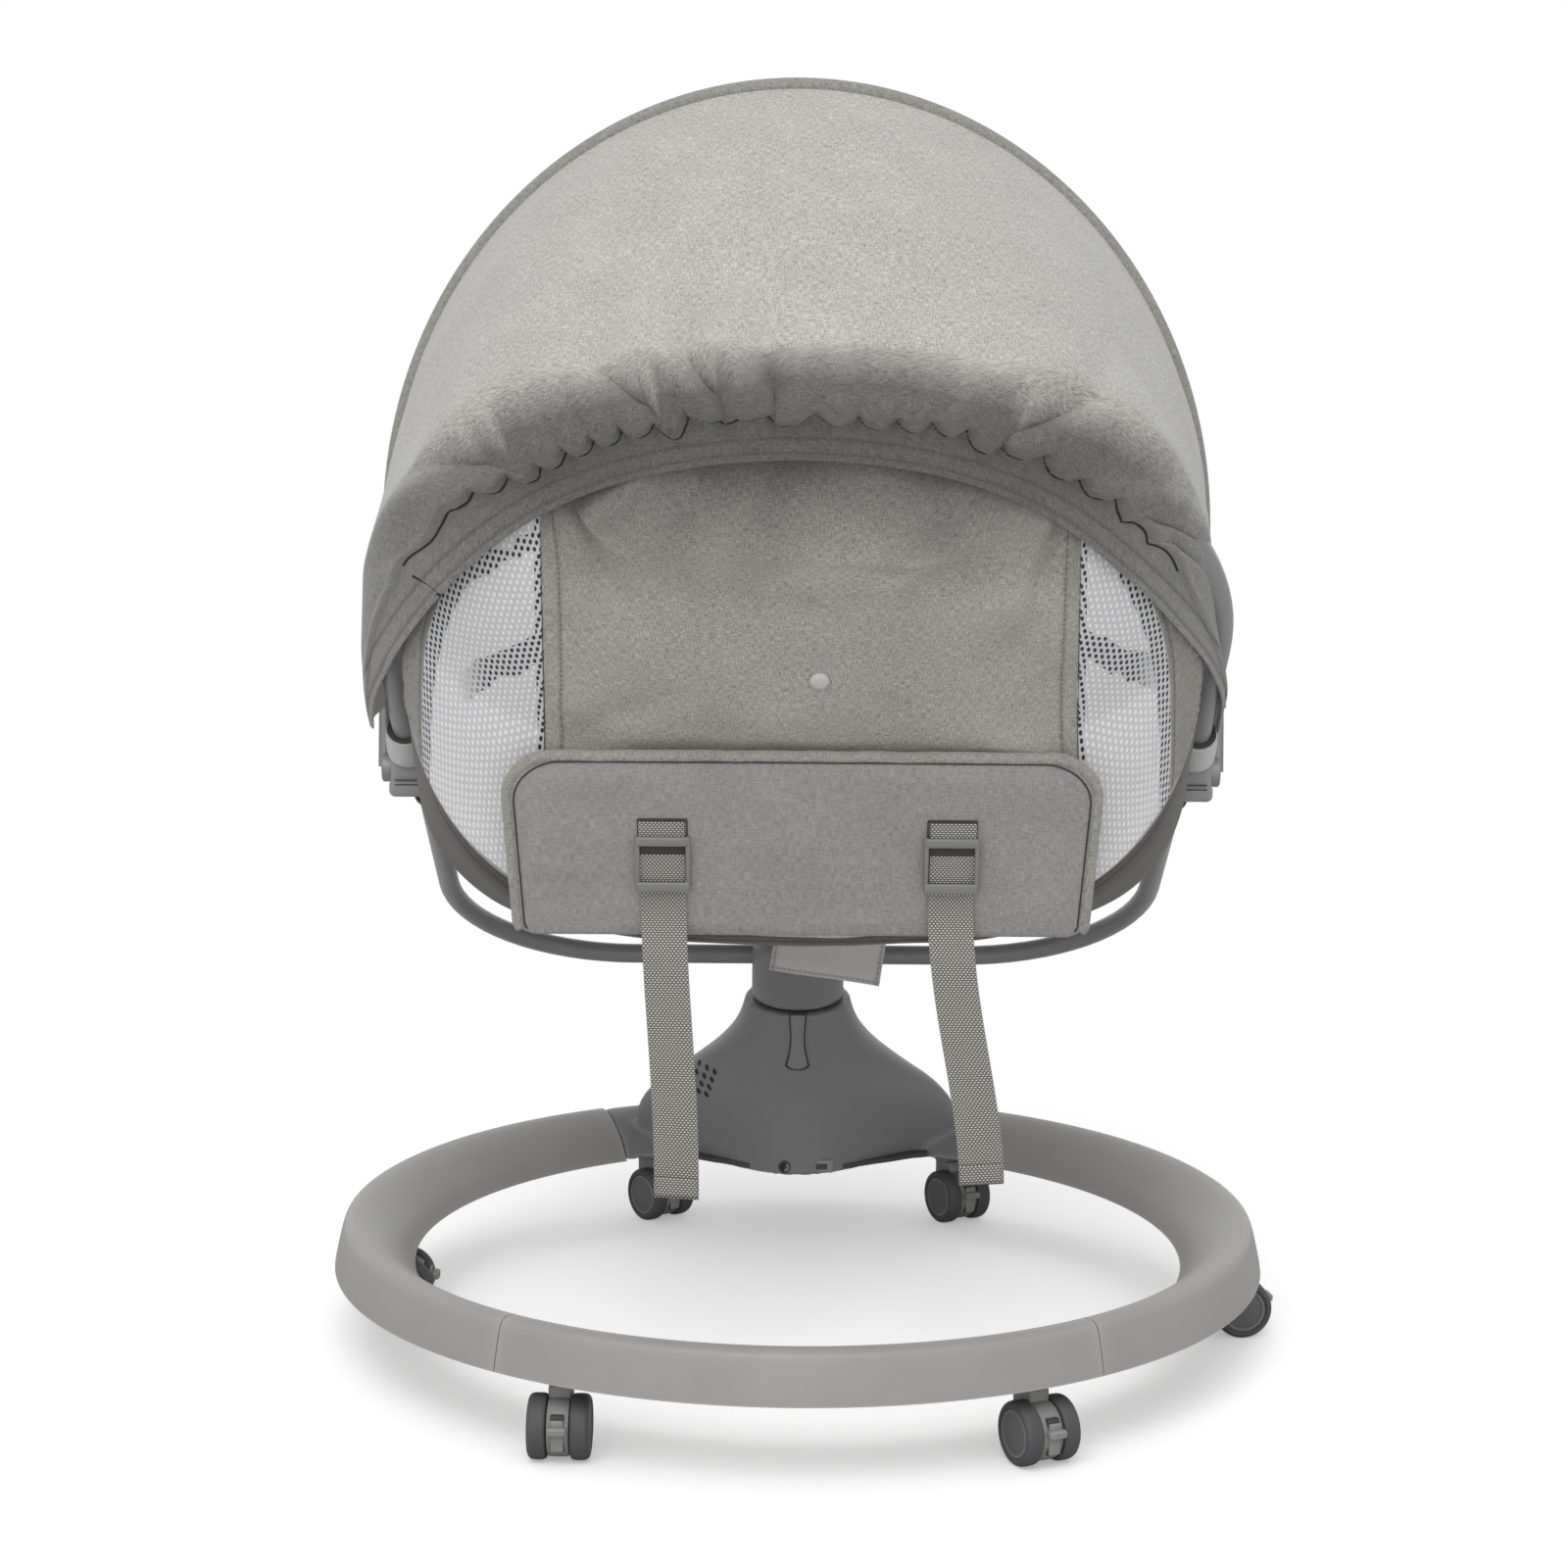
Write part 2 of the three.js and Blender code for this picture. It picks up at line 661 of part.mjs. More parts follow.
const boardX = -boardLength * 0.75;
const boardY = mix(neckCentreY, ringOuterRadius, 0.36);
const pillarRadius = boardThickness * 1.6;
const boardBody = solidFrom(block(boardLength * 0.8, boardWidth, boardThickness, boardX, boardY, plateTop + boardLift));
const boardPillars = [-1, 1].flatMap((side) => [-1, 1].map((end) => solidFrom(moved(
  bar(pillarRadius, boardLift - seatingGap, 8), boardX + side * boardLength * 0.32,
  boardY + boardWidth * end * 0.36, plateTop + seatingGap))));
addPiece('circuit_board', joinAll([boardBody, ...boardPillars]), 'circuit');

// Speaker behind its cluster of holes
const speakerPairs = [
  [0, 0], [speakerRadius, 0], [speakerRadius, speakerDepth * 0.25], [speakerRadius * 0.55, speakerDepth * 0.7],
  [speakerRadius * 0.55, speakerDepth], [0, speakerDepth],
];
const speakerTurn = new THREE.Matrix4().makeRotationZ(speakerFacingAngle)
  .multiply(new THREE.Matrix4().makeRotationX(-Math.PI / 2 - speakerTiltAngle));
speakerTurn.setPosition(...speakerSeat);
addPiece('speaker', placed(turned(speakerPairs, 14), speakerTurn), 'dark');

// Power jack and charging socket at the foot of the rear face
const jackPairs = [
  [0, jackLength * 0.5], [jackRadius * 0.5, jackLength * 0.5], [jackRadius * 0.5, 0], [jackRadius, 0],
  [jackRadius, jackLength], [0, jackLength],
];
addPiece('dc_jack', alongY(turned(jackPairs, 16), ...jackPlace), 'dark');
const usbMiddle = [usbPlace[0], usbPlace[1] + jackLength * 0.45, usbPlace[2]];
const usbShell = solidFrom(block(usbWidth, jackLength * 0.8, usbHeight, ...usbMiddle));
const usbMouth = solidFrom(block(usbWidth * 0.8, jackLength * 0.6, usbHeight * 0.5, ...usbPlace));
addPiece('usb_socket', usbShell.subtract(usbMouth), 'dark');

// Control plate with its two buttons on the front slope
const buttonXs = [-buttonSpacing / 2, buttonSpacing / 2];
const panelHoles = buttonXs.map((x) => solidFrom(placed(
  alongY(bar(buttonRadius + seatingGap, panelThickness * 3, 16), x, -panelThickness, 0), panelMatrix)));
const panelBody = solidFrom(panelSlab(0, panelThickness, panelThickness / 2 + seatingGap));
addPiece('control_panel', cutAll(panelBody, panelHoles), 'dark');
['power_button', 'speed_button'].forEach((name, index) => {
  const button = bar(buttonRadius, panelThickness + buttonProud, 16);
  addPiece(name, placed(alongY(button, buttonXs[index], buttonLift, 0), panelMatrix), 'box');
});

// Release latch hinged at its top edge
const latchBody = slab(latchShape, latchThickness, 0, 5);
const latchY = latchCentre.y + latchSinkIn - seatingGap - latchThickness / 2;
addPiece('release_latch', moved(latchBody, latchCentre.x, latchY, latchCentre.z), 'tower');

// Neck with its seal, shaft, magnet and bearing, all square to the leaning axis
const neckGroup = new THREE.Group();
neckGroup.applyMatrix4(neckMatrix);
cradle.add(neckGroup);
const bearingLow = -towerWall - seatingGap - bearingFlange;
const bearingPairs = [
  [shaftRadius + seatingGap, -bearingHeight], [bearingRadius - bearingFlange, -bearingHeight],
  [bearingRadius - bearingFlange, bearingLow], [bearingRadius + bearingFlange, bearingLow],
  [bearingRadius + bearingFlange, -towerWall - seatingGap], [bearingRadius - seatingGap, -towerWall - seatingGap],
  [bearingRadius - seatingGap, 0], [shaftRadius + seatingGap, 0], [shaftRadius + seatingGap, -bearingHeight],
];
addPiece('neck_bearing', turned(bearingPairs, 20), 'steel', neckGroup);
const sealTop = seatingGap + sealThickness;
const sealPairs = [
  [bearingRadius, seatingGap], [neckRadius - sealInset, seatingGap], [neckRadius - sealInset, sealTop],
  [bearingRadius, sealTop], [bearingRadius, seatingGap],
];
addPiece('neck_seal', turned(sealPairs, 20), 'dark', neckGroup);
const neckLow = sealTop + seatingGap;
const neckShoulder = neckHeight - neckDomeRise;
const neckPairs = [
  [0, neckLow], [neckRadius - sealInset / 2, neckLow], [neckRadius, neckLow + sealInset],
  [neckRadius, neckShoulder], [neckRadius * 0.93, mix(neckShoulder, neckHeight, 0.7)], [neckRadius * 0.8, neckHeight],
  [0, neckHeight + neckDomeRise],
];
const shaftTop = neckLow + shaftRadius;
const shaftSocket = solidFrom(bar(shaftRadius + seatingGap, shaftTop + seatingGap, 16));

// Yoke: one bent tube from side box to side box, its bottom passing through the neck
const yokeHalfWidth = boxCentreX - yokeInsideBox;
const yokeTopHeight = boxHeight - boxTall / 2 + yokeSocketDepth;
const yokeBottom = new THREE.Vector3(0, neckCentreY, yokeBottomHeight);
const yokeDrop = new THREE.Vector3(0, neckCentreY, yokeBottomHeight - yokeTopHeight);
const yokeLength = yokeDrop.length();
const yokeWay = yokeDrop.clone().normalize();

function yokePoint(x, down) {
  return new THREE.Vector3(x, 0, yokeTopHeight).addScaledVector(yokeWay, down);
}

function bentTubeCurve(points) {
  return new THREE.CatmullRomCurve3(points, false, 'centripetal');
}

const yokePoints = [];
const yokeCornerX = yokeHalfWidth - yokeCornerRadius;
const yokeCornerDown = yokeLength - yokeCornerRadius;
for (const side of [-1, 1]) {
  const half = [yokePoint(side * yokeHalfWidth, 0), yokePoint(side * yokeHalfWidth, yokeCornerDown / 2)];
  for (let i = 0; i <= 6; i += 1) {
    const turn = (i / 6) * (Math.PI / 2);
    half.push(yokePoint(side * (yokeCornerX + yokeCornerRadius * Math.cos(turn)),
      yokeCornerDown + yokeCornerRadius * Math.sin(turn)));
  }
  half.push(yokePoint(side * yokeCornerX * 0.5, yokeLength));
  yokePoints.push(...(side < 0 ? half : half.reverse()));
}
const yokeCurve = bentTubeCurve(yokePoints);
addPiece('yoke_tube', tube(yokeCurve, yokeTubeRadius, 8, 34), 'tube');
const yokeBore = solidFrom(moved(new THREE.CylinderGeometry(yokeTubeRadius + seatingGap, yokeTubeRadius + seatingGap,
  neckRadius * 3, 16).rotateZ(Math.PI / 2), yokeBottom.x, yokeBottom.y, yokeBottom.z)
  .applyMatrix4(neckMatrix.clone().invert()));
addPiece('neck', cutAll(solidFrom(turned(neckPairs, 20)), [shaftSocket, yokeBore]), 'tower', neckGroup);
addPiece('neck_shaft', joinAll([
  solidFrom(moved(bar(shaftRadius, shaftTop + shaftLength, 16), 0, 0, -shaftLength)),
  solidFrom(moved(bar(magnetRadius, magnetThickness, 16), 0, 0, -shaftLength - magnetThickness / 2)),
]), 'steel', neckGroup);

// Seat rim: a head loop that rises to the back and a foot loop that runs forward, both from the side boxes
function alongHead(x, reach) {
  return new THREE.Vector3(x, -reach * Math.cos(headAngle), boxHeight + reach * Math.sin(headAngle));
}

function alongFoot(x, reach) {
  return new THREE.Vector3(x, reach * Math.cos(footAngle), boxHeight + reach * Math.sin(footAngle));
}

function rimPoints(along, start, straight, length, steps) {
  const points = [along(rimHalfWidth, start), along(rimHalfWidth, (start + straight) / 2)];
  for (let i = 0; i <= steps; i += 1) {
    const turn = (i / steps) * Math.PI;
    points.push(along(rimHalfWidth * Math.cos(turn), straight + (length - straight) * Math.sin(turn)));
  }
  points.push(along(-rimHalfWidth, (start + straight) / 2), along(-rimHalfWidth, start));
  return points;
}

const rimStart = boxHalfDepth - socketDepth;
const headCurve = bentTubeCurve(rimPoints(alongHead, rimStart, headStraightLength, headLength, 14));
const footCurve = bentTubeCurve(rimPoints(alongFoot, rimStart, footStraightLength, footLength, 12));
addPiece('rim_head_tube', tube(headCurve, rimTubeRadius, 8, 30), 'tube');
addPiece('rim_foot_tube', tube(footCurve, rimTubeRadius, 8, 26), 'tube');

// Side boxes hold the yoke's end, both rim tubes and the canopy pivots
function sideName(side) {
  return side < 0 ? 'left' : 'right';
}

function tubeBore(start, end, radius) {
  const way = end.clone().sub(start);
  const length = way.length();
  const turn = new THREE.Quaternion().setFromUnitVectors(new THREE.Vector3(0, 0, 1), way.normalize());
  const matrix = new THREE.Matrix4().makeRotationFromQuaternion(turn).setPosition(start);
  return solidFrom(placed(bar(radius, length, 12), matrix));
}

const boxBottom = boxHeight - boxTall / 2;
const boxTop = boxHeight + boxTall / 2;
const innerPlateX = boxCentreX - boxWidth / 2 - innerPlateThickness / 2;
const pivotFaceX = boxCentreX + boxWidth / 2;
for (const side of [-1, 1]) {
  const rimX = side * rimHalfWidth;
  const outline = roundedShape(boxWidth / 2, boxTall / 2, boxBevel);
  const body = solidFrom(slab(outline, boxHalfDepth * 2, boxBevel * 0.5, 2).translate(side * boxCentreX, 0, boxHeight));
  const boreRadius = rimTubeRadius + seatingGap;
  const boreReach = boxHalfDepth * 3;
  const headBore = tubeBore(alongHead(rimX, rimStart - seatingGap), alongHead(rimX, boreReach), boreRadius);
  const footBore = tubeBore(alongFoot(rimX, rimStart - seatingGap), alongFoot(rimX, boreReach), boreRadius);
  const yokeTop = yokePoint(side * yokeHalfWidth, -seatingGap);
  const yokeSocket = tubeBore(yokeTop, yokePoint(side * yokeHalfWidth, boxTall), yokeTubeRadius + seatingGap);
  const pinHole = solidFrom(moved(bar(bowPinRadius + seatingGap, bowPinLength + seatingGap + cutOverrun, 12)
    .rotateY(-Math.PI / 2 * side), side * (pivotFaceX + cutOverrun), 0, boxHeight));
  const plate = block(innerPlateThickness + boxBevel, boxHalfDepth * 1.9, boxTall * 0.95,
    side * (innerPlateX + boxBevel / 2), 0, boxHeight);
  const box = body.add(solidFrom(plate));
  addPiece(`side_box_${sideName(side)}`, cutAll(box, [headBore, footBore, yokeSocket, pinHole]), 'box');
  const collarFoot = alongHead(rimX, boxHalfDepth / Math.cos(headAngle) + collarRadius * 0.35);
  const collarEnd = alongHead(rimX, boxHalfDepth / Math.cos(headAngle) + collarRadius * 0.35 + collarLength);
  const collarBore = tubeBore(alongHead(rimX, rimStart), alongHead(rimX, headStraightLength), boreRadius);
  const boxRoom = solidFrom(block(boxWidth * 2, (boxHalfDepth + seatingGap) * 2, boxTall + seatingGap * 2,
    side * boxCentreX, 0, boxHeight));
  const collar = tubeBore(collarFoot, collarEnd, collarRadius);
  addPiece(`collar_${sideName(side)}`, cutAll(collar, [collarBore, boxRoom]), 'collar');
}

// Castors: a drum body on a stem, a pair of wheels on one axle and a brake pedal
const wheelSteps = 16;
const castorAxleHeight = castorWheelRadius * Math.cos(Math.PI / wheelSteps);
const wheelInner = castorDrumWidth / 2 + seatingGap;
const wheelOuter = wheelInner + castorWheelWidth;
const wheelShares = [[0.97, 0], [1, 0.2], [1, 0.7], [0.8, 1]];
const wheelSide = wheelShares.map(([radius, across]) => [
  castorWheelRadius * radius,
  wheelInner + castorWheelWidth * across,
]);
const wheelPairs = [
  [0, wheelOuter], ...[...wheelSide].reverse(), [castorAxleRadius, wheelInner],
  [castorAxleRadius, -wheelInner], ...wheelSide.map(([radius, across]) => [radius, -across]),
  [0, -wheelOuter],
];
const drumRadius = castorWheelRadius * 0.9;
const plateLow = ringBottom - castorPlateDrop - castorPlateThickness;

function castorBody() {
  const profile = new THREE.Shape();
  profile.absarc(-castorTrail, castorAxleHeight, drumRadius, 0, Math.PI * 2);
  const drum = slab(profile, castorDrumWidth, 0, 8).rotateZ(Math.PI / 2);
  const neckWide = castorTrail + castorPlateRadius * 0.7;
  const upright = block(castorDrumWidth, neckWide, plateLow - castorAxleHeight, 0,
    -castorTrail + neckWide / 2, mix(castorAxleHeight, plateLow + castorPlateThickness / 2, 0.5));
  const plate = moved(bar(castorPlateRadius, castorPlateThickness, 10), 0, 0, plateLow);
  const stemLength = castorStemLength + castorPlateDrop;
  const stem = moved(bar(castorStemRadius, stemLength, 8), 0, 0, ringBottom - castorPlateDrop * 1.5);
  const whole = joinAll([drum, upright, plate, stem].map(solidFrom));
  const axleBore = moved(bar(castorAxleRadius + seatingGap, castorDrumWidth * 2, 10).rotateY(Math.PI / 2),
    -castorDrumWidth, -castorTrail, castorAxleHeight);
  const slotDepth = castorPedalDepth + castorLeverThickness;
  const pedalSlot = block(castorLeverWidth + seatingGap * 2, slotDepth, drumRadius * 1.15, 0,
    -castorTrail - drumRadius + slotDepth / 4, castorAxleHeight);
  return cutAll(whole, [solidFrom(axleBore), solidFrom(pedalSlot)]);
}

function castorPedal() {
  const back = -castorTrail - drumRadius;
  const lever = block(castorLeverWidth, castorLeverThickness, drumRadius * 1.1, 0, back, castorAxleHeight);
  const pedal = block(castorPedalWidth, castorPedalDepth, castorPedalDepth, 0, back - castorPedalDepth * 0.62,
    castorAxleHeight + drumRadius * 0.22);
  return joinAll([lever, pedal].map(solidFrom));
}

for (const place of castorPlaces) {
  const castor = new THREE.Group();
  const [x, y] = castorCentre(place);
  castor.position.set(x, y, 0);
  castor.rotation.z = place.trail + Math.PI / 2;
  cradle.add(castor);
  addPiece(`castor_body_${place.name}`, castorBody(), 'castorBody', castor);
  const wheels = turned(wheelPairs, wheelSteps).rotateY(Math.PI / 2).rotateX(Math.PI / wheelSteps);
  addPiece(`castor_wheels_${place.name}`, moved(wheels, 0, -castorTrail, castorAxleHeight), 'tyre', castor);
  addPiece(`brake_pedal_${place.name}`, castorPedal(), 'castorBody', castor);
}

// Seat cloth: one basket form, cut into its sewn panels; each section is an open U between the rim tubes
const headReachY = headLength * Math.cos(headAngle);
const footReachY = footLength * Math.cos(footAngle);
const headRise = headLength * Math.sin(headAngle) + boxHeight - seatFloor;
const footRise = footLength * Math.sin(footAngle) + boxHeight - seatFloor;
const headFloorShares = [
  [0.966, 0.966], [0.93, 0.87], [0.885, 0.775], [0.735, 0.61], [0.545, 0.42], [0.513, 0.385],
  [0.497, 0.355], [0.412, 0.14], [0.365, 0.04], [0.255, 0.02],
  [0, 0],
];
const footFloorShares = [[0.235, 0.016], [0.47, 0.16], [0.706, 0.42], [0.88, 0.74], [0.94, 0.88]];
const [boardLowY, boardLowHeight] = [-headReachY * boardLowShares[0], seatFloor + headRise * boardLowShares[1]];
const [boardTopY, boardTopHeight] = [-headReachY * boardTopShares[0], seatFloor + headRise * boardTopShares[1]];
const floorCurve = new THREE.SplineCurve([
  ...headFloorShares.map(([along, up]) => new THREE.Vector2(-headReachY * along, seatFloor + headRise * up)),
  ...footFloorShares.map(([along, up]) => new THREE.Vector2(footReachY * along, seatFloor + footRise * up)),
]);

function floorShareAt(y) {
  let [low, high] = [0, 1];
  for (let i = 0; i < 40; i += 1) {
    const middle = (low + high) / 2;
    if (floorCurve.getPointAt(middle).x < y) low = middle;
    else high = middle;
  }
  return (low + high) / 2;
}

const rimClearance = rimTubeRadius - rimFlatDepth + clothThickness / 2;

// Half width and height of the opening inside the rim tubes at a place along the seat
function rimAt(y) {
  const [angle, straight, length] = y < 0
    ? [headAngle, headStraightLength, headLength]
    : [footAngle, footStraightLength, footLength];
  const reach = Math.abs(y) / Math.cos(angle);
  const past = Math.min(Math.max(reach - straight, 0) / (length - rimClearance - straight), 0.985);
  const halfWidth = (rimHalfWidth - rimClearance) * Math.sqrt(1 - past * past);
  return { halfWidth, height: boxHeight + reach * Math.sin(angle) };
}

function seatSection(y) {
  const rim = rimAt(y);
  const reach = y < 0 ? boxRecessBack : boxRecessFront;
  const plateau = boxHalfDepth + clothThickness * 2;
  const recess = boxRecess * smooth((reach - Math.abs(y)) / (reach - plateau));
  const forward = smooth((y / headReachY) * forwardRateShare + forwardStartShare);
  return {
    halfWidth: rim.halfWidth - recess,
    height: rim.height,
    acrossPower: mix(headPowers[0], footPowers[0], forward),
    dropPower: mix(headPowers[1], footPowers[1], forward),
  };
}

// A point of the basket: lean runs from -90 degrees at the left rim through 0 on the floor to 90 at the right rim
function basketPoint(lean, share) {
  const floor = floorCurve.getPointAt(share);
  const section = seatSection(floor.x);
  const across = Math.sign(lean) * Math.abs(Math.sin(lean)) ** (2 / section.acrossPower);
  const drop = Math.max(section.height - floor.y, 0) * Math.cos(lean) ** (2 / section.dropPower);
  return new THREE.Vector3(section.halfWidth * across, floor.x, section.height - drop);
}

// The lean at which the basket reaches a given distance from the middle
function leanAt(distance, share, limit) {
  const section = seatSection(floorCurve.getPointAt(share).x);
  const part = Math.min(distance / section.halfWidth, 1) ** (section.acrossPower / 2);
  return Math.min(Math.asin(part), limit);
}

function basketPanel(fromShare, toShare, leanFrom, leanTo, thickness, offset, acrossSteps, alongSteps) {
  const pointAt = (u, v) => {
    const share = mix(fromShare, toShare, v);
    return basketPoint(mix(leanFrom(share), leanTo(share), u), share);
  };
  return sheet(pointAt, thickness, acrossSteps, alongSteps, offset);
}

const rimLeanAngle = 86 * degree;
const flapTopShare = 0;
const flapFootShare = floorShareAt(boardLowY + boardThick);

function flapHalf(share) {
  return mix(flapTopHalfWidth, flapLowHalfWidth, share / flapFootShare);
}

const flapLean = (share) => leanAt(flapHalf(share), share, rimLeanAngle);
const seamLean = (2 * clothGap) / flapLowHalfWidth;
const meshLean = (share) => Math.min(flapLean(share) + seamLean, rimLeanAngle);
const wingLean = (share) => mix(meshLean(share), rimLeanAngle, wingDropShare);
addPiece('back_flap', basketPanel(flapTopShare, flapFootShare, (share) => -flapLean(share), flapLean,
  clothThickness, 0, 12, 12), 'linen');
const meshTopShare = floorShareAt(-headReachY * 0.8);
for (const side of [-1, 1]) {
  const mesh = basketPanel(meshTopShare, flapFootShare, (share) => side * meshLean(share),
    (share) => side * (wingLean(share) - seamLean), clothThickness, 0, 5, 10);
  addPiece(`side_mesh_${sideName(side)}`, mesh, 'mesh');
  const wing = basketPanel(meshTopShare, flapFootShare, (share) => side * wingLean(share), () => side * rimLeanAngle,
    clothThickness, 0, 3, 10);
  addPiece(`side_wing_${sideName(side)}`, wing, 'linen');
}
const slingFromShare = flapFootShare + clothGap / floorCurve.getLength();
const slingToShare = 0.985;
const slingSeamShare = floorShareAt(headReachY * slingSeamReachShare);
const slingHalfSeam = clothGap / 2 / floorCurve.getLength();
const slingParts = [
  ['seat_sling', slingFromShare, slingSeamShare - slingHalfSeam],
  ['foot_sling', slingSeamShare + slingHalfSeam, slingToShare],
];
for (const [name, from, to] of slingParts) {
  addPiece(name, basketPanel(from, to, () => -rimLeanAngle, () => rimLeanAngle, clothThickness, 0, 18, 6), 'lining');
}

// Padded insert that lies in the basket from the head to the foot
const padLean = (share) => leanAt(padHalfWidth, share, padLimitAngle);
const padOffset = (clothThickness + padThickness) / 2 + padGap;
addPiece('seat_pad', basketPanel(floorShareAt(-headReachY * 0.8), floorShareAt(footReachY * 0.8), (share) => -padLean(share),
  padLean, padThickness, padOffset, 12, 13), 'linen');

// Rear board in its cloth cover, hinged along its lower edge
const boardTiltAngle = Math.atan2(boardLowY - boardTopY, boardTopHeight - boardLowHeight);
const boardTall = Math.hypot(boardTopY - boardLowY, boardTopHeight - boardLowHeight);
const boardGroup = new THREE.Group();
boardGroup.position.set(0, boardLowY, boardLowHeight);
boardGroup.rotation.x = boardTiltAngle;
cradle.add(boardGroup);
const boardShape = new THREE.Shape();
boardShape.moveTo(-boardLowHalfWidth + boardLowCorner, 0);
boardShape.lineTo(boardLowHalfWidth - boardLowCorner, 0);
boardShape.quadraticCurveTo(boardLowHalfWidth, 0, boardLowHalfWidth, boardLowCorner);
boardShape.lineTo(boardTopHalfWidth, boardTall - boardTopCorner);
boardShape.quadraticCurveTo(boardTopHalfWidth, boardTall, boardTopHalfWidth - boardTopCorner, boardTall);
boardShape.lineTo(-boardTopHalfWidth + boardTopCorner, boardTall);
boardShape.quadraticCurveTo(-boardTopHalfWidth, boardTall, -boardTopHalfWidth, boardTall - boardTopCorner);
boardShape.lineTo(-boardLowHalfWidth, boardLowCorner);
boardShape.quadraticCurveTo(-boardLowHalfWidth, 0, -boardLowHalfWidth + boardLowCorner, 0);
addPiece('back_board', slab(boardShape, boardThick, boardThick / 4, 5).translate(0, boardThick / 2, 0), 'panelCloth',
  boardGroup);

// Two straps come out of slits near the board's top, pass flat under a ladder buckle and hang free below it
const strapTop = boardTall * strapSlitShare;
const buckleCentre = strapTop - buckleDrop - buckleHeight / 2;
const strapBend = buckleCentre - buckleHeight * 0.7;
const strapFaceY = -seatingGap - strapThickness / 2;

// A point of a strap's middle line in the board's own frame, the distance measured down from the slit
function strapPoint(distance) {
  const flat = Math.min(distance, strapTop - strapBend);
  const below = Math.max(distance - flat, 0);
  const swing = boardTiltAngle * smooth(below / buckleHeight);
  return [strapFaceY - below * Math.sin(swing), strapTop - flat - below * Math.cos(swing)];
}

[-1, 1].forEach((side, index) => {
  const x = strapMiddleX + side * strapSpacing / 2;
  const strapLength = strapLengths[index];
  const lean = strapLeans[index];
  const pointAt = (u, v) => {
    const [y, z] = strapPoint(v * strapLength);
    const leaned = lean * smooth((v - strapLeanFrom) / (1 - strapLeanFrom));
    return new THREE.Vector3(x + (u - 0.5) * strapWidth + leaned, y, z);
  };
  addPiece(`strap_${sideName(side)}`, sheet(pointAt, strapThickness, 1, 16), 'webbing', boardGroup);
  const railX = buckleWidth / 2 - buckleRail / 2;
  const railDepth = strapThickness + seatingGap + buckleBar / 2;
  const railY = -seatingGap - railDepth / 2;
  const rails = [-1, 1].map((edge) => (
    block(buckleRail, railDepth, buckleHeight, x + edge * railX, railY, buckleCentre)));
  const bars = [-0.5, 0, 0.5].map((place) => block(buckleWidth, buckleBar / 2, buckleBar, x,
    railY - railDepth / 2 + buckleBar / 4, buckleCentre + place * (buckleHeight - buckleBar)));
  addPiece(`buckle_${sideName(side)}`, joinAll([...rails, ...bars].map(solidFrom)), 'buckle', boardGroup);
});

// Canopy bow: one bent rod from pivot to pivot with a disc and a pin at each end
const bowWay = new THREE.Vector3(0, Math.sin(bowLeanAngle), Math.cos(bowLeanAngle));

function bowPoint(x, reach) {
  return new THREE.Vector3(x, 0, boxHeight).addScaledVector(bowWay, reach);
}

const bowPoints = [bowPoint(bowHalfWidth, 0), bowPoint(bowHalfWidth, bowLegLength / 2)];
for (let i = 0; i <= 16; i += 1) {
  const turn = (i / 16) * Math.PI;
  bowPoints.push(bowPoint(bowHalfWidth * Math.cos(turn), bowLegLength + bowRise * Math.sin(turn)));
}
bowPoints.push(bowPoint(-bowHalfWidth, bowLegLength / 2), bowPoint(-bowHalfWidth, 0));
const bowCurve = bentTubeCurve(bowPoints);
const discStart = pivotFaceX + seatingGap;
const bowEnds = [-1, 1].flatMap((side) => {
  const disc = moved(bar(bowDiscRadius, bowDiscThickness, 14), 0, 0, discStart);
  const pin = moved(bar(bowPinRadius, bowPinLength + bowDiscThickness / 2, 10), 0, 0, discStart - bowPinLength);
  return [disc, pin].map((end) => solidFrom(moved(end.rotateY(side * Math.PI / 2), 0, 0, boxHeight)));
});
addPiece('canopy_bow', joinAll([solidFrom(tube(bowCurve, bowTubeRadius, 8, 34)), ...bowEnds]), 'tube');

// Canopy cloth: from behind the bow over to a fold above the head rim, then down behind it to the hem
const canopyReach = 0.5 - canopyFootShare;
const rimOutward = new THREE.Vector3();

// A point beside the head rim: out lies in the rim's plane, up is square to that plane
function besideRim(around, out, up) {
  const share = 0.5 + (around - 0.5) * 2 * canopyReach;
  const centre = headCurve.getPointAt(share);
  const along = headCurve.getTangentAt(share);
  const square = new THREE.Vector3(0, Math.sin(headAngle), Math.cos(headAngle));
  rimOutward.crossVectors(square, along).normalize();
  return centre.addScaledVector(rimOutward, out).addScaledVector(square, up);
}

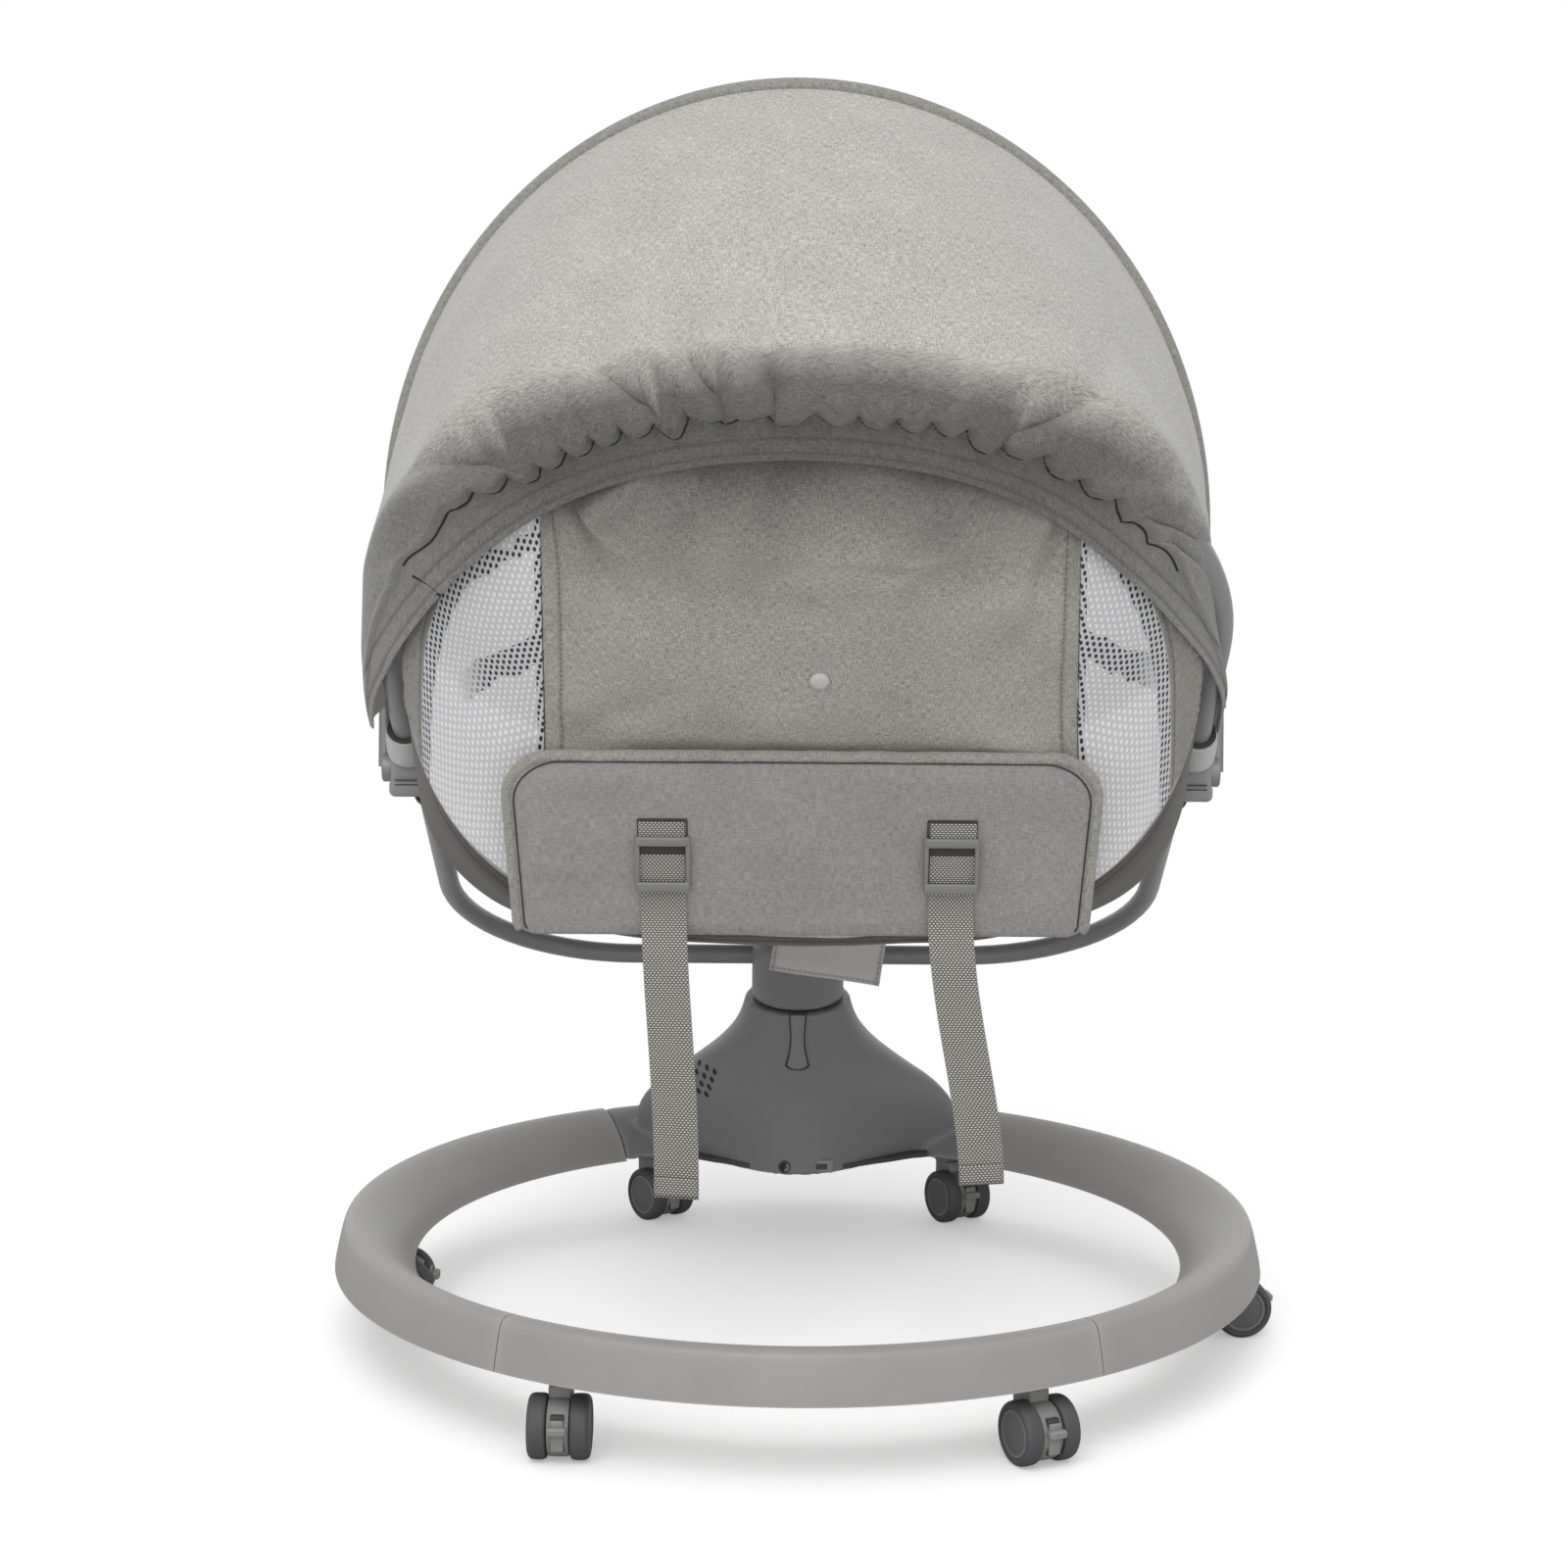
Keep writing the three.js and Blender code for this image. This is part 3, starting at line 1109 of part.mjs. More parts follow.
function canopyPoint(u, v) {
  const edge = 1 - Math.abs(u - 0.5) * 2;
  const full = smooth(edge / 0.3);
  const crease = Math.cos(u * ruffleCount * 2 * Math.PI) * ruffleDepth * full;
  const fold = besideRim(u, foldOut, foldUp);
  if (v > canopyBandShare) {
    const share = (v - canopyBandShare) / (1 - canopyBandShare);
    const hem = besideRim(u, tableAt(hemOutShares, edge) * hemReach, tableAt(hemUpShares, edge) * hemReach);
    const bulgeOut = tableAt(bulgeOutShares, edge) * hemReach + crease * (1 - share);
    const bulge = besideRim(u, bulgeOut, tableAt(bulgeUpShares, edge) * hemReach);
    return fold.multiplyScalar((1 - share) ** 2).addScaledVector(bulge, 2 * share * (1 - share))
      .addScaledVector(hem, share * share);
  }
  const share = v / canopyBandShare;
  const bow = bowCurve.getPointAt(0.5 + (u - 0.5) * 2 * canopyReach);
  const way = fold.clone().sub(bow).normalize();
  const start = bow.addScaledVector(way, bowTubeRadius + seatingGap + canopyThickness / 2);
  const point = start.lerp(fold, share);
  const swell = Math.sin(Math.PI * share) * canopySwell * full + crease * smooth((share - 0.6) / 0.4) * 0.6;
  return point.addScaledVector(new THREE.Vector3(0, -Math.sin(headAngle) * 0.5, 1).normalize(), swell);
}

addPiece('canopy_fabric', sheet(canopyPoint, canopyThickness, 44, 11), 'linen');

// Sewn tag hanging under the seat
const tag = slab(roundedShape(tagWidth / 2, tagHeight / 2, tagThickness), tagThickness, 0, 1).rotateY(-tagTurnAngle);
addPiece('seat_tag', moved(tag, tagX, 0, seatFloor - clothThickness * 1.5 - clothGap * 2.5 - tagHeight / 2), 'tag');

export default cradle;
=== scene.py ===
from math import atan2, cos, pi, radians, sin, sqrt

import bmesh
import bpy
import numpy as np
from mathutils import Matrix, Vector, noise
from mathutils.bvhtree import BVHTree


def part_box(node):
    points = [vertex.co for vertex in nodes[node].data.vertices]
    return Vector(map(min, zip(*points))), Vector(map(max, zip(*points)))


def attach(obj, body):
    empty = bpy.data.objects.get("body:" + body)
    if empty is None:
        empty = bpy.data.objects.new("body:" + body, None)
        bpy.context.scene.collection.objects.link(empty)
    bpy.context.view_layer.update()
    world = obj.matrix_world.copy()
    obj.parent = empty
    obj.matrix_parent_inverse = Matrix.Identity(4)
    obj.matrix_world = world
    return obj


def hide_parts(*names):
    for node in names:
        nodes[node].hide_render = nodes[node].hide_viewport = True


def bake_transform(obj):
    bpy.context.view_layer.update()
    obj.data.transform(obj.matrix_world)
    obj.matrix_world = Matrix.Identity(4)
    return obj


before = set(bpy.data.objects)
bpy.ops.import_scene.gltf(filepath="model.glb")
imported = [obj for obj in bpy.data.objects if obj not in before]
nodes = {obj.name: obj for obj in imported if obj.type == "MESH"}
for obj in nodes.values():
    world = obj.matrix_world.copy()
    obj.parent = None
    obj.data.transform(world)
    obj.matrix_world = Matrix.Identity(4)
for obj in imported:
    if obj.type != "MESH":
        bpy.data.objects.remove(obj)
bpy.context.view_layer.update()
scene = bpy.context.scene

# The view: the camera stands behind the head end, a little above the seat, and looks slightly down.
# It is the photograph's own viewpoint, with the same long lens.
camera = bpy.data.objects.new("camera", bpy.data.cameras.new("camera"))
scene.collection.objects.link(camera)
camera_spot, camera_dip, camera_roll = (-0.0099, -1.828, 0.592), 8.37, 0.0066
camera.data.sensor_width, camera.data.lens = 36, 71.1
camera.data.clip_start, camera.data.clip_end = 0.05, 60
camera.matrix_world = (Matrix.Translation(camera_spot) @ Matrix.Rotation(radians(90 - camera_dip), 4, "X")
                       @ Matrix.Rotation(camera_roll, 4, "Z"))
scene.camera = camera
scene.view_settings.view_transform = "Standard"


# Ring base: three moulded arcs of grey plastic, open below, butted together with a fine seam and pushed
# on to the tower's own arc. Each is turned from one hollow section round the ring's middle.
def paint(red, green, blue):
    """A colour given as it is seen on a screen, 0 to 255, in the shader's own scale."""
    parts = [c / 255 for c in (red, green, blue)]
    return [c / 12.92 if c < 0.04045 else ((c + 0.055) / 1.055) ** 2.4 for c in parts] + [1]


class Reading:
    """What a shader socket gives, worked out with like a plain number."""

    def __init__(self, socket):
        self.socket = socket

    def step(self, work, other=0.0):
        return read(self.socket.id_data, "Math", 0, {0: self, 1: other}, operation=work)

    def __add__(self, other):
        return self.step("ADD", other)

    def __sub__(self, other):
        return self.step("SUBTRACT", other)

    def __mul__(self, other):
        return self.step("MULTIPLY", other)

    def __truediv__(self, other):
        return self.step("DIVIDE", other)


def feed(socket, given):
    """Sets a shader socket to a value, or links it to a reading or another socket."""
    given = given.socket if isinstance(given, Reading) else given
    if isinstance(given, bpy.types.NodeSocket):
        socket.id_data.links.new(given, socket)
    else:
        socket.default_value = given


def node(tree, kind, sockets=None, **settings):
    """A shader node with its settings, and each named or numbered socket set or linked."""
    made = tree.nodes.new("ShaderNode" + kind)
    for key, setting in settings.items():
        setattr(made, key, setting)
    for key, given in (sockets or {}).items():
        feed(made.inputs[key], given)
    return made


def read(tree, kind, output=0, sockets=None, **settings):
    """What one output of a new shader node gives."""
    return Reading(node(tree, kind, sockets, **settings).outputs[output])


def mixed(share, first, second):
    """A colour between two colours."""
    return read(share.socket.id_data, "Mix", 2, {0: share, 6: first, 7: second}, data_type="RGBA")


def ramp(reading, low, high, to_low=0.0, to_high=1.0):
    """A reading stretched from one range to another, and held at its ends."""
    return read(reading.socket.id_data, "MapRange", 0, {0: reading, 1: low, 2: high, 3: to_low, 4: to_high})


def mottle(spot, scale, detail=2.0):
    """Soft random patches."""
    return read(spot.socket.id_data, "TexNoise", 0, {"Vector": spot, "Scale": scale, "Detail": detail})


def new_group(name, inputs, outputs=(("Colour", "Color"), ("Roughness", "Float"), ("Height", "Float"))):
    """An empty shader group: its inputs as readings, and its outputs as sockets to feed."""
    group = bpy.data.node_groups.new(name, "ShaderNodeTree")
    for label, kind, standard in inputs:
        socket = group.interface.new_socket(label, in_out="INPUT", socket_type="NodeSocket" + kind)
        if standard is not None:
            socket.default_value = standard
    for label, kind in outputs:
        group.interface.new_socket(label, in_out="OUTPUT", socket_type="NodeSocket" + kind)
    entries = {socket.name: Reading(socket) for socket in group.nodes.new("NodeGroupInput").outputs}
    return group, entries, group.nodes.new("NodeGroupOutput").inputs


def place_group(tree, group, values):
    """A shared group put into a material with its own values: its outputs as readings."""
    placed_group = tree.nodes.new("ShaderNodeGroup")
    placed_group.node_tree = group
    for label, given in values.items():
        feed(placed_group.inputs[label], given)
    return {socket.name: Reading(socket) for socket in placed_group.outputs}


def new_material(name):
    material = bpy.data.materials.new(name)
    material.use_nodes = True
    return material, material.node_tree, material.node_tree.nodes["Principled BSDF"].inputs


def dress(shader, colour, roughness, height, bump, depth):
    """Gives a shader its colour, its roughness and a relief of real depth."""
    feed(shader["Base Color"], colour)
    feed(shader["Roughness"], roughness)
    relief = {"Height": height, "Strength": bump, "Distance": depth}
    feed(shader["Normal"], read(height.socket.id_data, "Bump", 0, relief))


moulded, given, out = new_group("moulded_skin", [
    ("Colour", "Color", paint(150, 150, 148)), ("Grain", "Float", 900.0), ("Rough", "Float", 0.45),
    ("Wear", "Float", 0.25)])
spot = read(moulded, "TexCoord", "Object")
clouds = mottle(spot, 22.0, 4.0)
worn = ramp(read(moulded, "NewGeometry", "Pointiness"), 0.5, 0.6) * given["Wear"]
tinted = read(moulded, "HueSaturation", 0, {"Value": ramp(clouds, 0.3, 0.7, 0.96, 1.04),
                                            "Color": given["Colour"]})
feed(out["Colour"], mixed(worn, tinted, paint(205, 205, 203)))
feed(out["Roughness"], clouds * 0.16 + (given["Rough"] - 0.08))
feed(out["Height"], mottle(spot, given["Grain"], 3.0))


def finished(name, colour, rough, grain=1400.0, wear=0.25, bump=0.2, metal=0.0, coat=0.0):
    """A moulded, painted or metal finish, its colour as seen on a screen."""
    material, tree, shader = new_material(name)
    skin = place_group(tree, moulded, {"Colour": paint(*colour), "Rough": rough, "Grain": grain,
                                       "Wear": wear})
    dress(shader, skin["Colour"], skin["Roughness"], skin["Height"], bump, 0.0002)
    feed(shader["Metallic"], metal)
    feed(shader["Coat Weight"], coat)
    return material


def made_piece(name, form, material, body=None, stands_for=(), sharp=38):
    """A bmesh turned into a smooth-shaded object that rides on a CAD body."""
    mesh = bpy.data.meshes.new(name)
    form.to_mesh(mesh)
    form.free()
    mesh.shade_smooth()
    mesh.set_sharp_from_angle(angle=radians(sharp))
    mesh.materials.append(material)
    piece = bpy.data.objects.new(name, mesh)
    scene.collection.objects.link(piece)
    if body:
        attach(piece, body)
    if stands_for:
        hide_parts(*stands_for)
    return piece


def curved(points, steps):
    """More points on a smooth line through the given ones."""
    line = [Vector(p) for p in points]
    found = []
    for i in range(len(line) - 1):
        before, start, end, after = line[max(i - 1, 0)], line[i], line[i + 1], line[min(i + 2, len(line) - 1)]
        for t in (k / steps for k in range(steps)):
            found.append(0.5 * ((2 * start) + (end - before) * t
                                + (2 * before - 5 * start + 4 * end - after) * t * t
                                + (3 * start - before - 3 * end + after) * t ** 3))
    return found + [line[-1]]


def curved_pairs(pairs, steps):
    return [(p.x, p.y) for p in curved([(*pair, 0) for pair in pairs], steps)]


def cap(form):
    bmesh.ops.holes_fill(form, edges=[e for e in form.edges if e.is_boundary], sides=0)


def seal(form):
    """Welds a form's seam, closes its open ends and turns its faces outwards."""
    bmesh.ops.remove_doubles(form, verts=form.verts, dist=1e-6)
    cap(form)
    bmesh.ops.recalc_face_normals(form, faces=form.faces)
    return form


def spun(section, middle, axis, turn, steps, start=0.0):
    """A closed section swept round an axis, its two ends closed when the turn isn't whole."""
    form = bmesh.new()
    corners = [form.verts.new(p) for p in section]
    edges = [form.edges.new(pair) for pair in zip(corners, corners[1:])]
    if max(abs(section[0][0]), abs(section[-1][0])) > 1e-6:
        edges.append(form.edges.new((corners[-1], corners[0])))
    bmesh.ops.rotate(form, verts=form.verts, cent=middle, matrix=Matrix.Rotation(start, 3, axis))
    whole = abs(turn - 2 * pi) < 1e-6
    bmesh.ops.spin(form, geom=corners + edges, cent=middle, axis=axis, angle=turn, steps=steps,
                   use_merge=whole)
    return seal(form)


ring_middle = Vector((0, -0.028, 0))
ring_inner, ring_wide, ring_foot, ring_tall, ring_wall = 0.228, 0.047, 0.044, 0.028, 0.003
outer_shares = [(1, 0), (0.975, 0.25), (0.89, 0.83), (0.82, 0.975), (0.73, 1), (0.6, 0.955), (0.4, 0.77),
                (0.16, 0.4), (0, 0)]
inner_shares = [(0, 0), (0.16, 0.3), (0.4, 0.7), (0.6, 0.9), (0.74, 0.98), (0.86, 0.88), (0.97, 0.2), (1, 0)]
outer_line = [(ring_inner + x * ring_wide, ring_middle.y, ring_foot + z * ring_tall)
              for x, z in curved_pairs(outer_shares, 5)]
inner_line = [(ring_inner + ring_wall + x * (ring_wide - 2 * ring_wall), ring_middle.y,
               ring_foot + z * (ring_tall - ring_wall)) for x, z in curved_pairs(inner_shares, 4)]
ring_plastic = finished("ring_plastic", (162, 161, 158), 0.44, bump=0.12)
ring_arcs = {"ring_rear": (-126, -54), "ring_right": (-54, 60.5), "ring_left": (119.5, 234)}
seam_turn, steps_per_degree = 0.07, 0.9
for name, (first, last) in ring_arcs.items():
    form = spun(outer_line + inner_line, ring_middle, (0, 0, 1), radians(last - first - 2 * seam_turn),
                round((last - first) * steps_per_degree), radians(first + seam_turn))
    made_piece("shown_" + name, form, ring_plastic, "base", [name])


# Tower: one smooth grey moulding that grows out of the far arc and narrows to the neck, square to its lean.
# The flare and the arc are blended into one skin and hollowed from below; the base plate closes it.
def grid_form(points, closed=False, threads=False):
    """A sheet of faces through a table of points; closed joins its last column to its first and fills both
    ends. threads gives it its own width and length in metres, and the distances from its four edges."""
    across, along = points.shape[0] - 1, points.shape[1] - 1
    form = bmesh.new()
    layer, edge_layer = form.loops.layers.uv.new("thread"), form.verts.layers.float_color.new("edges")
    bmesh.ops.create_grid(form, x_segments=across, y_segments=along, size=0.5)
    spots = {v: (round((v.co.x + 0.5) * across), round((v.co.y + 0.5) * along)) for v in form.verts}
    if threads:
        wide, long = np.zeros((across + 1, along + 1)), np.zeros((across + 1, along + 1))
        wide[1:] = np.cumsum(np.linalg.norm(np.diff(points, axis=0), axis=2), axis=0)
        long[:, 1:] = np.cumsum(np.linalg.norm(np.diff(points, axis=1), axis=2), axis=1)
        thread_u, thread_v = wide - wide[-1] / 2, long.mean(axis=0)
        for vert, (i, k) in spots.items():
            vert[edge_layer] = (wide[i, k], wide[-1, k] - wide[i, k], long[i, k], long[i, -1] - long[i, k])
            for loop in vert.link_loops:
                loop[layer].uv = (thread_u[i, k], thread_v[k])
    for vert, (i, k) in spots.items():
        vert.co = points[i, k]
    if not threads:
        form.loops.layers.uv.remove(layer)
        form.verts.layers.float_color.remove(form.verts.layers.float_color["edges"])
    return seal(form) if closed else form


tower_top, tower_half, neck_y, neck_half, spine_y = 0.157, 0.125, 0.2, 0.032, 0.248
tower_back, tower_front, bell_share = 0.165, 0.272, 0.82
neck_lean = radians(11)
neck_foot = Vector((0, neck_y + ring_middle.y, tower_top))
neck_axis = Vector((0, -sin(neck_lean), cos(neck_lean)))
flare_rows = curved([(0, 0.84, 1), (0.14, 0.86, 0.9), (0.27, 0.86, 0.77), (0.37, 0.82, 0.66),
                     (0.48, 0.72, 0.53),
                     (0.6, 0.56, 0.38), (0.74, 0.405, 0.22), (0.88, 0.31, 0.09), (1.06, 0.262, 0)], 5)
flare_rest = curved([(1, 1, 0), (0.98, 0.94, 0.015), (0.87, 0.83, 0.03), (0.7, 0.72, 0.04),
                     (0.46, 0.59, 0.045),
                     (0.23, 0.45, 0.05), (0.07, 0.295, 0.05), (0, 0.13, 0.05), (0, 0.02, 0.05)], 5)
outline = np.linspace(0, 2 * pi, 97)
flare = np.zeros((len(outline), len(flare_rows), 3))
for k, (row, rest) in enumerate(zip(flare_rows, flare_rest)):
    x = tower_half * row.y * np.cos(outline)
    spine = neck_y + (spine_y - neck_y) * row.z
    front = neck_y + neck_half + (tower_front - neck_y - neck_half) * rest.y
    bell = np.sign(np.round(np.sin(outline), 9)) * (1 + np.cos(pi * np.cos(outline))) / 2
    deep = np.sin(outline) + (bell - np.sin(outline)) * rest.x * bell_share
    reach = np.where(deep > 0, front - spine, spine - tower_back - rest.z * ring_wide)
    flare[:, k, 0] = x
    flare[:, k, 1] = spine - rest.x * (spine_y - np.sqrt(spine_y ** 2 - x ** 2)) + deep * reach + ring_middle.y
    flare[:, k, 2] = ring_foot + row.x * (tower_top - ring_foot)
tower_form = grid_form(flare, closed=True)
bmesh.ops.bisect_plane(tower_form, geom=[*tower_form.verts, *tower_form.edges, *tower_form.faces],
                       plane_co=neck_foot, plane_no=neck_axis, clear_outer=True)
cap(tower_form)
far_first, far_last = ring_arcs["ring_right"][1], ring_arcs["ring_left"][0]
arc = spun(outer_line, ring_middle, (0, 0, 1), radians(far_last - far_first - 2 * seam_turn), 54,
           radians(far_first + seam_turn))
arc_mesh = bpy.data.meshes.new("far_arc")
arc.to_mesh(arc_mesh)
tower_form.from_mesh(arc_mesh)
bpy.data.meshes.remove(arc_mesh)
bmesh.ops.recalc_face_normals(tower_form, faces=tower_form.faces)
tower_plastic = finished("tower_plastic", (134, 134, 136), 0.42, bump=0.12)


def made_solid(piece):
    """Puts what the piece's modifiers make into its own mesh, and takes the modifiers off."""
    seen = piece.evaluated_get(bpy.context.evaluated_depsgraph_get())
    mesh = bpy.data.meshes.new_from_object(seen)
    piece.modifiers.clear()
    old, piece.data = piece.data, mesh
    bpy.data.meshes.remove(old)
    return piece


blend_voxel, smoothing_rounds, tower_wall = 0.0019, 14, 0.0022
button_margin, button_hollow, kept_foot, kept_top, skirt_gap = 0.0014, 0.0032, 0.003, 0.002, 0.002
tower = made_piece("shown_tower", tower_form, tower_plastic)
remesh = tower.modifiers.new("blend", "REMESH")
remesh.mode, remesh.voxel_size = "VOXEL", blend_voxel
made_solid(tower)
tower_form = bmesh.new()
tower_form.from_mesh(tower.data)
for _ in range(smoothing_rounds):
    soft = [v for v in tower_form.verts
            if v.co.z > ring_foot + kept_foot and (v.co - neck_foot).dot(neck_axis) < -kept_top]
    bmesh.ops.smooth_vert(tower_form, verts=soft, factor=0.5, use_axis_x=True, use_axis_y=True,
                          use_axis_z=True)
for name in ("power_button", "speed_button"):
    low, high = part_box(name)
    for v in tower_form.verts:
        if all(low[i] - button_margin <= v.co[i] <= high[i] + button_margin for i in range(3)):
            v.co -= v.normal * button_hollow
floor_faces = [f for f in tower_form.faces
               if f.normal.z < -0.9 and f.calc_center_median().z < ring_foot + skirt_gap]
bmesh.ops.delete(tower_form, geom=floor_faces, context="FACES")
tower_form.to_mesh(tower.data)
tower_form.free()
tower.data.shade_smooth()
tower.modifiers.new("wall", "SOLIDIFY").thickness = tower_wall
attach(tower, "base")
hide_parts("tower_shell")
tower_skin = BVHTree.FromObject(tower, bpy.context.evaluated_depsgraph_get())


# Release latch, speaker holes and the two sockets in the tower's rear face. The latch is a bottle-shaped
# paddle hinged at its top in a shallow pocket; the jack and charging socket open through the skin, and each
# speaker hole is a dark lipped disc set in the skin, painted shade standing in for the open hole.
def rounded_block(size, middle, bevel, segments=3):
    """A box with rounded edges, size and middle in metres."""
    form = bmesh.new()
    bmesh.ops.create_cube(form, size=1)
    bmesh.ops.scale(form, vec=size, verts=form.verts)
    bmesh.ops.bevel(form, geom=[*form.edges], offset=bevel, offset_type="OFFSET", segments=segments,
                    profile=0.5, affect="EDGES", material=-1)
    bmesh.ops.translate(form, vec=middle, verts=form.verts)
    return form


def flat_shape(outline_points, thickness, bevel, matrix):
    """A flat plate cut to an outline, thick along its own z, with eased edges, placed by a matrix."""
    form = bmesh.new()
    face = form.faces.new([form.verts.new((x, y, 0)) for x, y in outline_points])
    grown = bmesh.ops.extrude_face_region(form, geom=[face])["geom"]
    bmesh.ops.translate(form, vec=(0, 0, thickness),
                        verts=[g for g in grown if isinstance(g, bmesh.types.BMVert)])
    bmesh.ops.recalc_face_normals(form, faces=form.faces)
    rims = [e for e in form.edges if abs(e.verts[0].co.z - e.verts[1].co.z) < 1e-9]
    bmesh.ops.bevel(form, geom=rims, offset=bevel, offset_type="OFFSET", segments=2, profile=0.5,
                    affect="EDGES", material=-1)
    bmesh.ops.transform(form, matrix=matrix, verts=form.verts)
    return form


def joined(forms, matrix=None):
    """Several bmeshes as one, placed by a matrix."""
    whole = bmesh.new()
    for form in forms:
        mesh = bpy.data.meshes.new("part")
        form.to_mesh(mesh)
        form.free()
        whole.from_mesh(mesh)
        bpy.data.meshes.remove(mesh)
    if matrix:
        bmesh.ops.transform(whole, matrix=matrix, verts=whole.verts)
    return whole


def turned(pairs, matrix, steps=40):
    """A shape turned on a lathe from pairs of radius and height, placed by a matrix."""
    form = spun([(radius, 0, height) for radius, height in pairs], (0, 0, 0), (0, 0, 1), 2 * pi, steps)
    bmesh.ops.transform(form, matrix=matrix, verts=form.verts)
    return form


def facing(spot, way):
    """Places something turned about z at a spot, so that it runs along a direction."""
    return Matrix.Translation(spot) @ way.to_track_quat("Z", "Y").to_matrix().to_4x4()


def outwards(skin, x, z, from_y=-1.0):
    """Where a line along +Y from behind meets a skin, with the skin's own direction there."""
    return skin.ray_cast(Vector((x, from_y, z)), Vector((0, 1, 0)))[:2]


black_plastic = finished("black_plastic", (36, 36, 38), 0.55, 900.0, 0.1)
facing_back = Matrix.Rotation(radians(90), 4, "X")
latch_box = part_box("release_latch")
latch_wide, latch_tall, latch_thick, latch_bevel = 0.0134, 0.036, 0.0028, 0.0008
latch_middle = (latch_box[0] + latch_box[1]) / 2
latch_side = curved_pairs([(-0.36, 0.5), (-0.33, 0.3), (-0.3, 0.12), (-0.32, -0.08), (-0.4, -0.26),
                           (-0.5, -0.42)], 4)
latch_foot = curved_pairs([(-0.5, -0.42), (-0.3, -0.478), (0, -0.5), (0.3, -0.478), (0.5, -0.42)], 4)
half_outline = [(x * latch_wide, y * latch_tall) for x, y in latch_side + latch_foot[1:]]
latch_outline = half_outline + [(-x, y) for x, y in half_outline[:len(latch_side) - 1]][::-1]
latch_plastic = finished("latch_plastic", (132, 132, 134), 0.4)
latch_place = Matrix.Translation((latch_middle.x, latch_box[1].y, latch_middle.z)) @ facing_back
made_piece("latch_paddle", flat_shape(latch_outline, latch_thick, latch_bevel, latch_place), latch_plastic,
           "latch", ["release_latch"])
pocket_thick, pocket_sunk, pocket_bevel, pocket_wider, pocket_taller = 0.0016, 0.0014, 0.0003, 1.22, 1.06
pocket_y = outwards(tower_skin, 0, latch_middle.z)[0].y + pocket_sunk
pocket_place = Matrix.Translation((latch_middle.x, pocket_y, latch_middle.z)) @ facing_back
pocket_outline = [(x * pocket_wider, y * pocket_taller) for x, y in latch_outline]
made_piece("latch_pocket", flat_shape(pocket_outline, pocket_thick, pocket_bevel, pocket_place),
           black_plastic, "base")
holes_x, holes_z, hole_pitch, hole_shift, hole_fall, hole_proud = -0.063, 0.099, 0.0052, 0.35, 0.0016, 0.0008
hole_lip = [(0, 0), (0.0011, 0), (0.0013, 0.0004), (0.0012, 0.00095), (0.0009, 0.00098), (0.0007, 0.0007),
            (0, 0.0006)]
slant = Matrix.Rotation(radians(35), 4, "Z") @ Matrix.Diagonal((1.0, 1.9, 1.3, 1))
# Each speaker hole is a dark lipped disc: painted shade in place of an open hole.
holes = []
for row in range(-1, 3):
    for column in range(-1, 2):
        hit, direction = outwards(tower_skin, holes_x + (column + row * hole_shift) * hole_pitch,
                                  holes_z + row * hole_pitch - column * hole_fall)
        holes.append(turned(hole_lip, facing(hit - direction * hole_proud, direction) @ slant, 14))
made_piece("speaker_holes", joined(holes), black_plastic, "base")
jack_x, usb_x, sockets_z, jack_deep = -0.0077, 0.0154, 0.0496, 0.011
jack_place = Matrix.Translation((jack_x, outwards(tower_skin, jack_x, sockets_z)[0].y + jack_deep, sockets_z))
jack_line = [(0, 0), (0.0042, 0), (0.0042, 0.0112), (0.0038, 0.0117), (0.0031, 0.0117), (0.0028, 0.0112),
             (0.0028, 0.01105), (0.0010, 0.01105), (0.0010, 0.0114), (0.0006, 0.0116), (0, 0.0116)]
made_piece("power_inlet", turned(jack_line, jack_place @ facing_back), black_plastic, "base",
           ["dc_jack"])
usb_y = outwards(tower_skin, usb_x, sockets_z)[0].y
usb_plate = rounded_block((0.0165, 0.0014, 0.0085), (usb_x, usb_y + 0.0003, sockets_z), 0.0006)
made_piece("socket_plate", usb_plate, latch_plastic, "base")
usb_mouth = rounded_block((0.0092, 0.0016, 0.0036), (usb_x, usb_y - 0.0002, sockets_z), 0.0003)
made_piece("charging_socket", usb_mouth, black_plastic, "base", ["usb_socket"])
steel = finished("turned_steel", (180, 182, 185), 0.34, 2600.0, 0.0, metal=1.0)
inner_finishes = {"base_plate": black_plastic, "speaker": black_plastic, "neck_bearing": steel,
                  "neck_shaft": steel, "circuit_board": finished("circuit", (47, 93, 67), 0.5, 600.0, 0.0),
                  "drive_coil": finished("copper_winding", (168, 112, 60), 0.4, 3000.0, 0.0, metal=0.8)}
for name, finish in inner_finishes.items():
    nodes[name].data.materials.clear()
    nodes[name].data.materials.append(finish)


# Control plate: a dark rounded plate with two round buttons on the tower's front slope. It doesn't show in
# the photograph. The plate is clipped in; the buttons press in by a little over a millimetre.
for name in ("control_panel", "power_button", "speed_button"):
    nodes[name].data.materials.clear()
    nodes[name].data.materials.append(black_plastic if name == "control_panel" else latch_plastic)
    easing = nodes[name].modifiers.new("easing", "BEVEL")
    easing.width, easing.segments, easing.limit_method, easing.angle_limit = 0.0005, 2, "ANGLE", radians(50)


